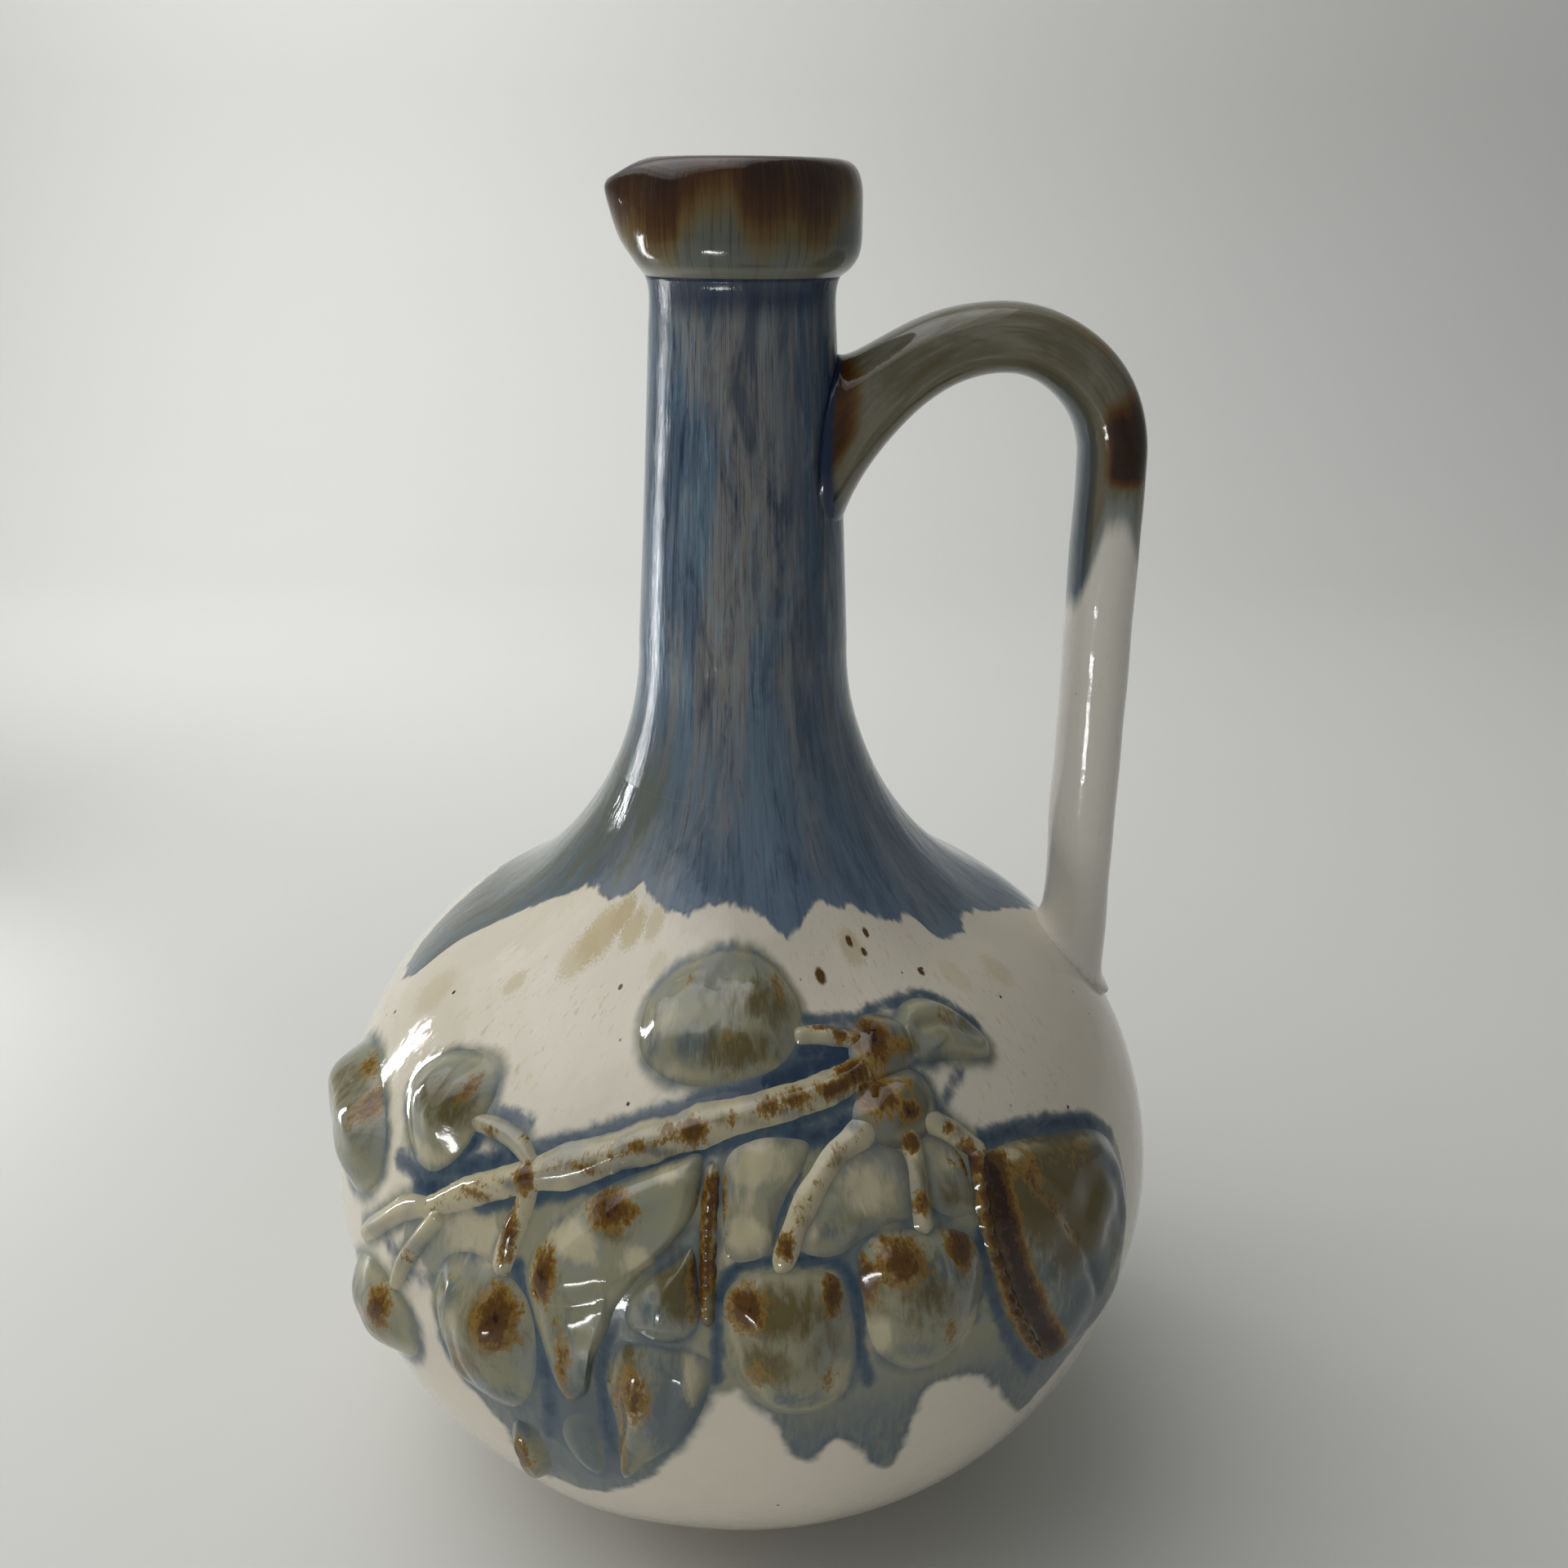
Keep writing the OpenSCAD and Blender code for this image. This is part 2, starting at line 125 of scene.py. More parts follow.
class CarafeColours(bpy.types.PropertyGroup):
    """Colours of the glazes and of the stage."""
    cream: colour("Cream", (0.64, 0.585, 0.475), "Clear glaze over pale clay")
    straw: colour("Straw", (0.430, 0.380, 0.245), "Warm cream of branch and stems")
    stain: colour("Stain", (0.420, 0.325, 0.135), "Tan stain in the cream glaze")
    navy: colour("Navy", (0.006, 0.021, 0.056), "Deepest blue, where glaze has pooled")
    lagoon: colour("Lagoon", (0.036, 0.070, 0.104), "Grey-blue in the channels of the bough")
    denim: colour("Denim", (0.104, 0.150, 0.200), "Middle blue of the neck")
    pale_blue: colour("Pale blue", (0.180, 0.280, 0.345), "Pale strands in the blue glaze")
    mauve: colour("Mauve", (0.205, 0.195, 0.180), "Grey-mauve streaks in the blue glaze")
    haze: colour("Haze", (0.205, 0.222, 0.205), "Thin blue-grey glaze")
    drip: colour("Drip", (0.072, 0.098, 0.114), "Blue-grey glaze that ran below the bough")
    olive: colour("Olive", (0.105, 0.094, 0.052), "Olive glaze of the handle")
    sage: colour("Sage", (0.235, 0.228, 0.145), "Grey-green glaze on the fruits and leaves")
    moss: colour("Moss", (0.088, 0.064, 0.014), "Brown-olive clouds in the glaze of the sprigs")
    amber: colour("Amber", (0.232, 0.134, 0.022), "Amber where the glaze breaks")
    rust: colour("Rust", (0.086, 0.036, 0.003), "Rust-brown where the glaze breaks most")
    umber: colour("Umber", (0.020, 0.006, 0.001), "Darkest brown of the collar")
    # Painted shade: a deep blue laid over the right-hand side of neck and shoulder, where the light falls off
    painted_shade_blue: colour("Ink", (0.022, 0.048, 0.096), "Deep blue at the right of the neck")
    slate: colour("Slate", (0.105, 0.112, 0.088), "Grey-olive at the left of the flare")
    parchment: colour("Parchment", (0.56, 0.50, 0.40), "Faint clouds in the cream glaze")
    soot: colour("Soot", (0.012, 0.008, 0.006), "Small black specks in the cream glaze")
    ash: colour("Ash", (0.140, 0.150, 0.132), "Grey margins of the thin leaves")
    pewter: colour("Pewter", (0.105, 0.115, 0.10), "Grey-olive at the collar's foot")
    bronze: colour("Bronze", (0.125, 0.110, 0.055), "Olive-brown low on the collar")
    honey: colour("Honey", (0.125, 0.066, 0.010), "Amber and pale hairs on the collar")
    chestnut: colour("Chestnut", (0.052, 0.019, 0.002), "Middle brown of the collar")
    bisque: colour("Bisque", (0.30, 0.29, 0.22), "Pale line round the collar's foot")
    # Partly painted light: a whiter, less yellow cream, made lighter than the glaze to stand in for light the
    # lamps leave out
    ivory_and_painted_light: colour("Ivory", (0.78, 0.75, 0.68), "Paler cream of the handle")
    khaki: colour("Khaki", (0.205, 0.196, 0.148), "Pale clouds in the handle's olive")
    caramel: colour("Caramel", (0.130, 0.074, 0.014), "Thin brown on the handle")
    mahogany: colour("Mahogany", (0.078, 0.025, 0.001), "Red-brown on the handle")
    paper: colour("Paper", (0.64, 0.64, 0.61), "Floor and backdrop")


def sizes():
    return bpy.context.scene.carafe_sizes


def colours():
    return bpy.context.scene.carafe_colours


# The wall of the pot, in millimetres

class Wall:
    """The outside of belly and flare: three arcs that meet smoothly, and the hollow inside them."""

    def __init__(self):
        s = sizes()
        mm = lambda value: value / MM
        self.top = mm(s.height)
        self.r = mm(s.belly_radius)
        self.low, self.up, self.flare = mm(s.low_round), mm(s.top_round), mm(s.neck_flare)
        self.thick = mm(s.wall)
        self.foot_r, self.foot_h, self.floor = mm(s.foot_radius), mm(s.foot_height), mm(s.floor_height)
        self.joint = mm(s.neck_joint)
        self.neck_low, self.neck_top = mm(s.neck_low_radius), mm(s.neck_top_radius)
        self.throat = mm(s.throat_radius)
        self.collar_z = self.top - mm(s.collar_height)
        self.low_c, self.up_c = self.r - self.low, self.r - self.up
        self.flare_c = self.neck_low + self.flare
        self.z = self.foot_h + math.sqrt(self.low ** 2 - (self.foot_r - self.low_c) ** 2)
        self.flare_z = self.z + math.sqrt((self.up + self.flare) ** 2 - (self.flare_c - self.up_c) ** 2)
        self.turn = math.asin((self.flare_z - self.z) / (self.up + self.flare))
        self.turn_rise = self.up * self.turn
        self.foot_rise = -self.low * math.asin((self.z - self.foot_h) / self.low)
        self.joint_rise = self.rise_on_flare(self.joint)
        self.throat_z = self.flare_z + mm(s.throat_rise)
        reach = self.throat - self.up_c
        inner_up = self.up - self.thick
        square = reach ** 2 + (self.throat_z - self.z) ** 2 - inner_up ** 2
        self.in_flare = square / (2 * (inner_up - reach))

    def rise_on_flare(self, z):
        return self.turn_rise + self.flare * (self.turn - math.asin((self.flare_z - z) / self.flare))

    def profile(self, rise, lift=0.0):
        rise, lift = np.broadcast_arrays(np.asarray(rise, float), np.asarray(lift, float))
        low, up = rise / self.low, rise / self.up
        turn = self.turn - (rise - self.turn_rise) / self.flare
        r = np.where(rise < 0, self.low_c + (self.low + lift) * np.cos(low), np.where(
            rise < self.turn_rise, self.up_c + (self.up + lift) * np.cos(up),
            self.flare_c - (self.flare - lift) * np.cos(turn)))
        z = np.where(rise < 0, self.z + (self.low + lift) * np.sin(low), np.where(
            rise < self.turn_rise, self.z + (self.up + lift) * np.sin(up),
            self.flare_z - (self.flare - lift) * np.sin(turn)))
        return r, z

    def points(self, along, rise, lift=0.0):
        r, z = self.profile(rise, lift)
        return spun(along / self.r, r, z)

    def neck_r(self, z):
        share = (z - self.flare_z) / (self.collar_z - self.flare_z)
        return self.neck_low + (self.neck_top - self.neck_low) * share

    def shoulder_z(self, r):
        turn_r = self.up_c + self.up * math.cos(self.turn)
        on_up = self.z + np.sqrt(np.maximum(self.up ** 2 - (r - self.up_c) ** 2, 0.0))
        on_flare = self.flare_z - np.sqrt(np.maximum(self.flare ** 2 - (self.flare_c - r) ** 2, 0.0))
        return np.where(r > turn_r, on_up, on_flare)

    def inside(self, count):
        """The hollow's profile from the joint down to the floor."""
        inner_up, inner_low = self.up - self.thick, self.low - self.thick
        centre = self.throat + self.in_flare
        turn = math.asin((self.throat_z - self.z) / (inner_up + self.in_flare))
        start = math.asin((self.throat_z - self.joint) / self.in_flare)
        floor = -math.asin((self.z - self.floor) / inner_low)
        a = np.linspace(start, turn, count)
        b = np.linspace(turn, 0.0, count)[1:]
        c = np.linspace(0.0, floor, count)[1:]
        r = np.concatenate([centre - self.in_flare * np.cos(a), self.up_c + inner_up * np.cos(b),
                            self.low_c + inner_low * np.cos(c)])
        z = np.concatenate([self.throat_z - self.in_flare * np.sin(a), self.z + inner_up * np.sin(b),
                            self.z + inner_low * np.sin(c)])
        return r, z


def spun(angle, r, z):
    angle, r, z = np.broadcast_arrays(angle, r, z)
    return np.stack([r * np.sin(angle), -r * np.cos(angle), z], -1)


def smooth(lo, hi, value):
    t = np.clip((value - lo) / (hi - lo), 0.0, 1.0)
    return t * t * (3 - 2 * t)


def ripple(seed, x, y, size):
    """Soft hand-made unevenness, about -1 to 1, with swells of about the given size."""
    rng = np.random.RandomState(seed)
    total = np.zeros(np.broadcast(x, y).shape)
    for _ in range(7):
        heading, phase = rng.uniform(0, 2 * math.pi, 2)
        k = 2 * math.pi / (size * rng.uniform(0.7, 1.6))
        total = total + np.sin(k * (x * math.cos(heading) + y * math.sin(heading)) + phase)
    return total / 3.5


def spline(points, steps, closed=False):
    """A smooth curve through points, by the Catmull-Rom formula."""
    p = np.asarray(points, float)
    n = len(p)
    spans = n if closed else n - 1
    at = (lambda i: p[i % n]) if closed else (lambda i: p[min(max(i, 0), n - 1)])
    out = []
    for k in range(spans):
        a, b, c, d = at(k - 1), at(k), at(k + 1), at(k + 2)
        for i in range(steps):
            t = i / steps
            out.append((2 * b + (c - a) * t + (2 * a - 5 * b + 4 * c - d) * t * t
                        + (3 * b - a - 3 * c + d) * t ** 3) / 2)
    if not closed:
        out.append(p[-1])
    return np.array(out)


# Meshes

def ring_mesh(name, rings, first=None, last=None, marks=None):
    """A closed mesh over rings of points in millimetres, capped at end points or closed on itself."""
    rows, cols = rings.shape[:2]
    points = [rings.reshape(-1, 3)]
    count = rows * cols
    ends = []
    for end in (first, last):
        if end is not None:
            ends.append(count)
            points.append(np.asarray(end, float).reshape(1, 3))
            count += 1
    points = np.concatenate(points) * MM
    capped = first is not None
    r, c = np.meshgrid(np.arange(rows - 1 if capped else rows), np.arange(cols), indexing="ij")
    r, c = r.ravel(), c.ravel()
    at = lambda row, col: (row % rows) * cols + col % cols
    quads = np.stack([at(r, c), at(r, c + 1), at(r + 1, c + 1), at(r + 1, c)], 1)
    spans = rows + 1
    uv = lambda row, col: np.stack([col / cols, (row + 1.0) / (spans + 1)], -1)
    corner_uv = np.stack([uv(r, c), uv(r, c + 1), uv(r + 1, c + 1), uv(r + 1, c)], 1).reshape(-1, 2)
    loops, starts, uvs = [quads.ravel()], [np.arange(len(quads)) * 4], [corner_uv]
    if capped:
        k = np.arange(cols)
        zero = np.zeros(cols, int)
        tail = np.stack([at(zero, k + 1), at(zero, k), zero + ends[0]], 1)
        head = np.stack([at(zero + rows - 1, k), at(zero + rows - 1, k + 1), zero + ends[1]], 1)
        half = k + 0.5
        tail_uv = np.stack([uv(zero, k + 1), uv(zero, k), uv(zero - 1, half)], 1)
        head_uv = np.stack([uv(zero + rows - 1, k), uv(zero + rows - 1, k + 1), uv(zero + rows, half)], 1)
        base = len(quads) * 4
        loops += [tail.ravel(), head.ravel()]
        starts += [base + np.arange(cols) * 3, base + cols * 3 + np.arange(cols) * 3]
        uvs += [tail_uv.reshape(-1, 2), head_uv.reshape(-1, 2)]
    loops, starts, uvs = np.concatenate(loops), np.concatenate(starts), np.concatenate(uvs)
    mesh = bpy.data.meshes.new(name)
    mesh.vertices.add(len(points))
    mesh.vertices.foreach_set("co", points.astype(np.float32).ravel())
    mesh.loops.add(len(loops))
    mesh.loops.foreach_set("vertex_index", loops.astype(np.int32))
    mesh.polygons.add(len(starts))
    mesh.polygons.foreach_set("loop_start", starts.astype(np.int32))
    mesh.uv_layers.new(name="OFBake").data.foreach_set("uv", uvs.astype(np.float32).ravel())
    for key, value in (marks or {}).items():
        value = np.asarray(value, np.float32)
        kind, slot = ("FLOAT_VECTOR", "vector") if value.ndim > 1 else ("FLOAT", "value")
        mesh.attributes.new(key, kind, "POINT").data.foreach_set(slot, value.ravel())
    mesh.update(calc_edges=True)
    mesh.validate()
    mesh.shade_smooth()
    piece = bpy.data.objects.new(name, mesh)
    bpy.context.collection.objects.link(piece)
    return piece


def with_ends(values, *ends):
    """Flattens ring values and adds those of the end points."""
    values = np.asarray(values, float)
    flat = values.reshape(-1, 3) if values.ndim == 3 else values.ravel()
    shape = (1, 3) if values.ndim == 3 else (1,)
    return np.concatenate([flat, *(np.asarray(e, float).reshape(shape) for e in ends)])


def place(piece, material, slot, *nodes):
    piece.data.materials.append(material)
    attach(piece, "root")
    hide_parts(*nodes)


def sheet(angle, radius, rise):
    """Where a point lies on the flat sheet of glaze, rolled so that it has no seam."""
    angle, rise = np.broadcast_arrays(angle, rise)
    return np.stack([radius * np.sin(angle), -radius * np.cos(angle), rise], -1)


# The bough, laid out in millimetres along the widest line and up the wall

FRUITS = {
    "fruit_top": [(-27, 62), (-28.6, 69), (-23.5, 75.3), (-11.5, 79.2), (-0.8, 80), (9, 77.2), (14.6, 72),
        (16, 66.5), (13.4, 61), (7.6, 57), (-0.5, 54.8), (-9.6, 54.3), (-18, 55.4), (-24, 58)],
    "fruit_upper_left": [(-79, 34), (-82, 39.3), (-78, 45), (-70, 48.6), (-61.6, 49.6), (-58, 46),
        (-57, 41), (-58.4, 35.6), (-62, 30.8), (-66.4, 28.4), (-73, 29.6)],
    "fruit_far_left": [(-80.6, 21), (-84, 28), (-94, 33.6), (-106, 35), (-116, 31), (-119.6, 25),
        (-116, 18.4), (-106, 13.6), (-94, 12), (-85, 14.6)],
    "fruit_left_low": [(-65.8, -2), (-70, 2.6), (-79, 3.6), (-87, 0), (-90.4, -6), (-88, -12.4),
        (-80, -15.8), (-71, -13.4), (-66, -8)],
    "fruit_lower_left": [(-57.8, 10.7), (-55.3, 15.6), (-48.7, 18), (-42.7, 17.6), (-38.6, 15.6),
        (-36.4, 11.4), (-36, 5.3), (-37.4, -2.3), (-41.2, -7.6), (-46.5, -8.4), (-53, -6.7), (-56.2, -1.5),
        (-58.2, 4.7)],
    "fruit_lower_centre": [(-3.4, 18.6), (-1.8, 22.4), (2.9, 24.4), (9.7, 24.4), (15.4, 22.4), (17.4, 19),
        (18.2, 12.2), (17.9, 6.1), (15.4, 1.4), (10.9, -0.7), (5.1, 0.2), (0.7, 4.8), (-2.1, 10.6)],
    "fruit_lower_right": [(20, 24.2), (22, 27.4), (26.3, 28.4), (31.9, 27.2), (37.4, 26.2), (41.4, 24),
        (43, 19.5), (42.6, 14.4), (40.8, 9.7), (37, 5.6), (31.5, 3.8), (26.4, 5.2), (22.3, 9),
        (20.4, 15.5)],
}
KNOTS = {
    "knot_upper": [(26.4, 57.6), (28.6, 61.8), (33, 63.8), (38.6, 63.2), (43.4, 61), (44.6, 57.4),
        (41, 54.6), (36, 53.4), (31, 53), (27.4, 54.6)],
    "knot_lower": [(23.4, 47.4), (25.6, 50.6), (30, 52.8), (35.6, 53.6), (40.4, 52.4), (42, 48.4),
        (40.8, 44.6), (37, 42.2), (33, 41.6), (28.6, 42.6), (24.6, 44.6)],
}
LEAVES = {
    "leaf_right": [(50, 35.6), (58.3, 34.9), (69.1, 31.8), (80.6, 27.1), (85.6, 21.3), (86, 13.4),
        (84, 4.1), (80, -4.6), (73, -8.6), (64, -8.8), (58.6, -7.4), (54.6, 0.2), (50.2, 9.4),
        (47.6, 17.7), (47, 26.5), (47.6, 32.8)],
    "leaf_centre": [(-8.9, 42.4), (-13.9, 41.2), (-19.3, 38.8), (-24.7, 36), (-29.9, 32.2), (-34.6, 27.4),
        (-37.6, 23), (-38.4, 18.2), (-36.4, 13), (-34.4, 8), (-32.6, 2.3), (-30, -1.8), (-26.6, 1),
        (-25.6, 7.1), (-23.2, 12.9), (-21.8, 18), (-18.4, 23), (-13.4, 28.2), (-10, 32.7), (-8.8, 37.3)],
    "leaf_folded": [(-19.4, 18.8), (-16.6, 22), (-12, 25.6), (-9.2, 27.4), (-8.2, 20.4), (-8.4, 15.4),
        (-11.9, 13), (-16.4, 13.2), (-19.6, 15.2)],
    "leaf_lower": [(-21.4, 9.4), (-18.5, 11.2), (-11.8, 10.8), (-7.2, 9.4), (-6, 7.6), (-7.6, 2),
        (-11.6, -6.7), (-17, -13.6), (-21.4, -18.6), (-22, -12), (-21.4, -5), (-22.6, 3)],
    "leaf_lower_left": [(-28.5, -4), (-25.6, -5.6), (-24, -11), (-24.6, -17), (-27, -20.6), (-30.2, -18),
        (-32.4, -12), (-31.6, -7)],
    "leaf_tip_left": [(-41.3, -12.8), (-38.8, -14), (-37.4, -19), (-38.6, -25.4), (-41, -27), (-43, -21.5),
        (-42.8, -16)],
    "leaf_cream": [(-4.9, 39), (-3.4, 43.6), (1, 46), (8, 46.2), (13, 44.8), (12.4, 41.4), (9, 37),
        (6, 32), (4.4, 27.4), (0.8, 25.8), (-3.4, 26.4), (-4.9, 31.8)],
    "leaf_under_fork": [(19, 42.2), (24, 42.4), (30, 41.2), (32.2, 38), (32, 32.4), (30.4, 29.8),
        (26, 29.6), (21, 28.2), (16.5, 26.2), (12, 26.2), (9.4, 27.8), (11, 31.4), (14.4, 36.6)],
    "leaf_inner_right": [(36.4, 41.8), (40.6, 40.8), (44, 37), (44.6, 31), (44, 27.4), (41, 27),
        (37.4, 28.6), (35.2, 31.4), (35.4, 37)],
    "leaf_at_knot": [(39.6, 60.4), (45, 63.8), (51, 64.4), (56.6, 62.4), (61, 57.6), (62.8, 52.6),
        (60.4, 50.8), (55, 52), (49.4, 53.6), (44, 54), (40, 56)],
}
# Lines of branch, stems and ribs, with their width and the shares of it left at both ends
TWIGS = {
    "branch": ([(-63.4, 22.2), (-55.2, 28), (-47, 32.4), (-39.2, 36.1), (-31.6, 39.2), (-23.3, 42.8),
        (-14.6, 45.6), (-5.7, 48.3), (4.8, 50.4), (16, 52.4), (25.4, 54.4), (31, 56)], 6.0, (0.5, 0.85)),
    "stem_top_fruit": ([(14.4, 62.8), (20.5, 62.6), (29, 60.4)], 2.4, (1.0, 1.2)),
    "stem_centre_fruit": ([(28.4, 47), (24.4, 45), (21, 43.3), (16.8, 40.8), (12.6, 36.5), (9.4, 32),
        (6.8, 26.4)], 4.2, (1.1, 0.8)),
    "stem_right_fruit": ([(34, 44), (34, 38.6), (33.5, 35), (33, 28.6)], 3.3, (1.1, 0.9)),
    "stem_right_leaf": ([(37.6, 45.4), (43.4, 41.4), (48, 36.8)], 3.1, (1.2, 1.0)),
    "stem_lower_left_fruit": ([(-41.4, 34.4), (-42.2, 28.4), (-43.2, 24.8), (-44.2, 19)], 3.2, (1.0, 0.8)),
    "stem_left_fruit": ([(-61, 21.4), (-65, 15), (-68.2, 9.8), (-70.8, 4)], 2.3, (1.2, 0.8)),
    "stem_upper_left_fruit": ([(-58.4, 39.6), (-52, 40), (-46.6, 39), (-42.4, 36.6)], 2.4, (0.9, 1.0)),
    "stem_far_left": ([(-62, 22.8), (-66.6, 21), (-71, 18.5), (-77, 13), (-83, 7.6)], 3.0, (0.8, 0.8)),
}
RIBS = {
    "rib_right": ([(47.2, 36.6), (46, 31), (45.6, 25.7), (46.2, 18.7), (48.4, 9.7), (52.2, 1.6),
        (56.8, -5.6)], 1.9, (1.2, 0.6)),
    "rib_centre": ([(-6.3, 40), (-6.4, 35), (-6.5, 29.5), (-6.2, 17)], 2.1, (0.8, 0.5)),
}

# Soft patches of cream, brown-olive and blue in the bough: along, rise, half width, half height, strength
PALE = [
    (-29.6, 27.2, 4.1, 2.7, 0.8), (-18.4, 25.8, 2.6, 2.3, 0.6), (-13.7, 39.2, 3.8, 1.3, 0.5),
    (0.5, 42.6, 5.4, 3.6, 1.1), (-0.6, 29.0, 3.8, 3.4, 1.1), (-1.0, 37.3, 3.0, 4.4, 0.35),
    (-21.6, 64.4, 5.6, 4.6, 0.3), (-17.1, 56.2, 5.9, 1.8, 0.35), (-66.9, 31.3, 5.0, 1.8, 0.6),
    (-50.6, 23.4, 6.3, 3.1, 0.7), (-50.4, 7.6, 2.8, 3.9, 0.35), (15.6, 6.0, 2.5, 3.8, 0.55),
    (21.7, 12.0, 2.1, 3.5, 0.7), (38.0, 9.3, 2.5, 3.7, 0.45), (23.0, 36.0, 5.4, 4.0, 0.6),
    (-52, 20, 7, 3, 0.6), (-62, 27, 4, 2, 0.5), (40.9, 36.9, 2.7, 1.8, 0.5), (-17.5, 2.4, 1.5, 5.1, 0.55),
    (-8.5, 7.2, 1.4, 5.6, 0.5), (53.9, 34.1, 3.5, 1.3, 0.6), (10.8, 30.1, 2.6, 1.5, 0.4),
]
MOSS = [
    (63.2, 28.1, 15, 6, 1.1), (69.4, 14.5, 10, 11, 1.05), (56.8, 22.2, 4.6, 6, 0.9),
    (-64.2, 40.3, 7.5, 4.2, 0.55), (-1.8, 59.4, 9.5, 3.9, 0.55), (4.3, 68.7, 8.9, 5.6, 0.5),
    (6.0, 18.1, 7.4, 4.5, 0.6), (2.7, 9.9, 4.8, 4.4, 0.6), (12.5, 13.4, 3.3, 4.3, 0.5),
    (30.2, 18.5, 7.4, 4.9, 0.5), (21.1, 17.9, 2.6, 4.9, 0.6), (-10.4, 21.9, 4.2, 4.7, 0.8),
    (-19.1, 6.8, 2.3, 5.7, 0.6), (-44.0, 10.1, 5.9, 5.6, 0.55), (-49.4, 1.1, 4.5, 5.7, 0.5),
    (-24.4, 29.7, 5.4, 2.2, 0.5), (-32.1, 19.5, 3.6, 3.2, 0.4), (58.0, 57.4, 7.0, 3.0, 0.4),
    (48.5, 45.9, 4.8, 3.0, 0.5), (37.7, 31.2, 4.0, 4.5, 0.5), (-21.0, -2.3, 1.7, 4.5, 0.5),
    (19.1, 31.5, 4.6, 3.0, 0.35), (39.0, 57.6, 5.1, 2.4, 0.5), (-100, 27, 12, 5, 0.4), (-78, -6, 7, 5, 0.5),
    (-40.5, -19, 1.6, 5, 0.6), (-52, 28.6, 6, 1.4, 0.42), (-30, 38.6, 7, 1.3, 0.40),
    (-2, 48.2, 7, 1.3, 0.40), (18, 51.6, 6, 1.3, 0.45), (18, 41, 3.4, 1.6, 0.42), (10.4, 33, 1.6, 3, 0.40),
    (34, 36, 1.4, 4, 0.35), (44, 41, 3, 1.4, 0.40), (74, 24, 8, 6, 0.9),
]
BLUE = [
    (-11.8, -0.8, 4.9, 9.0, 0.8), (63.6, -1.5, 12.7, 8.2, 0.8), (53.9, 14.1, 3.0, 5.3, 0.5),
    (35.4, 21.3, 3.8, 3.2, 0.4), (-13.2, 59.9, 3.8, 3.4, 0.55), (-54.2, 11.5, 3.4, 4.5, 0.5),
    (-27.6, -10.3, 6.4, 13, 1.1), (-31.4, 11.3, 3.6, 3.5, 0.4), (-15.3, 18.3, 2.5, 3.2, 0.5),
    (7.5, 3.3, 4.9, 2.9, 0.5), (80.7, 16.3, 5.3, 10.8, 0.8), (46.5, 52.6, 2.5, 2.3, 0.6),
    (-78.9, 37.7, 3.7, 3.9, 0.4), (-22.7, 60.9, 1.9, 5.0, 0.5), (26.8, 8.2, 5.4, 2.3, 0.4),
    (-44.5, -4.0, 6.4, 3.7, 0.5), (-96, 16, 9, 4, 0.5), (-84, -11, 6, 4, 0.5), (-44, 32.4, 3, 1.2, 0.5),
    (-18, 42.8, 5, 1.0, 0.5), (8, 49.4, 5, 1.0, 0.4), (22, 46, 3, 1.2, 0.5), (14, 30, 3, 1.4, 0.4),
    (66, 6, 12, 6, 0.7),
]
# Ridges and grooves on fruits and leaves: the line, its half width and its height
RIDGES = [
    ([(-37, 15.6), (-31, 16.4), (-24, 19)], 1.3, -0.6), ([(-36, 19.4), (-30, 20.6), (-24, 23)], 2.6, 0.5),
    ([(-12, 38), (-22, 32), (-31, 24.6)], 1.5, 0.35), ([(-29, 13), (-29.4, 5)], 1.6, 0.4),
    ([(-17.5, 9), (-18, 2), (-18.6, -6), (-20, -13)], 1.3, 0.7),
    ([(-20.2, 8), (-20.6, 0), (-20.8, -6)], 0.8, -0.4), ([(-12, 8), (-12.4, 0), (-15, -8)], 1.3, -0.35),
    ([(-13, 24), (-14, 16)], 1.4, 0.5), ([(-53.4, 12), (-54.4, 4), (-52, -3.6)], 1.0, 0.5),
    ([(-50.4, 15), (-51, 5), (-49, -4)], 1.0, -0.35), ([(52, 34), (60, 24), (66, 13), (70, 2)], 1.2, -0.6),
    ([(58, 32), (66, 21), (72, 9)], 2.4, 0.5), ([(72, 30), (79, 20), (80, 8)], 1.6, -0.35),
    ([(-84, 24), (-100, 24.4), (-116, 24.6)], 2.4, 0.9),
    ([(46, 59.4), (53, 58.4), (59.4, 54.4)], 1.0, -0.7), ([(-21, 66), (-13, 60), (-2, 58)], 2.2, -0.4),
    ([(-22, 72), (-12, 75), (0, 75)], 2.4, -0.3),
    ([(0.4, 7.4), (5, 2.6), (11, 1.6), (15.6, 4.6)], 1.2, 0.45), ([(4.4, 20), (5, 11)], 1.8, -0.35),
    ([(12.6, 20.4), (12, 11)], 1.8, -0.35), ([(22, 18), (23.6, 24.4), (30, 25.8)], 1.0, 0.35),
    ([(24.4, 9), (31, 6), (37, 8.4)], 1.2, 0.4), ([(31, 21), (32, 12)], 1.8, -0.3),
    ([(-74, 44), (-66, 36), (-63, 32)], 1.6, 0.45), ([(15, 31), (22, 35.6)], 1.6, -0.25),
    ([(0.6, 42), (0.4, 32)], 1.4, -0.3),
]
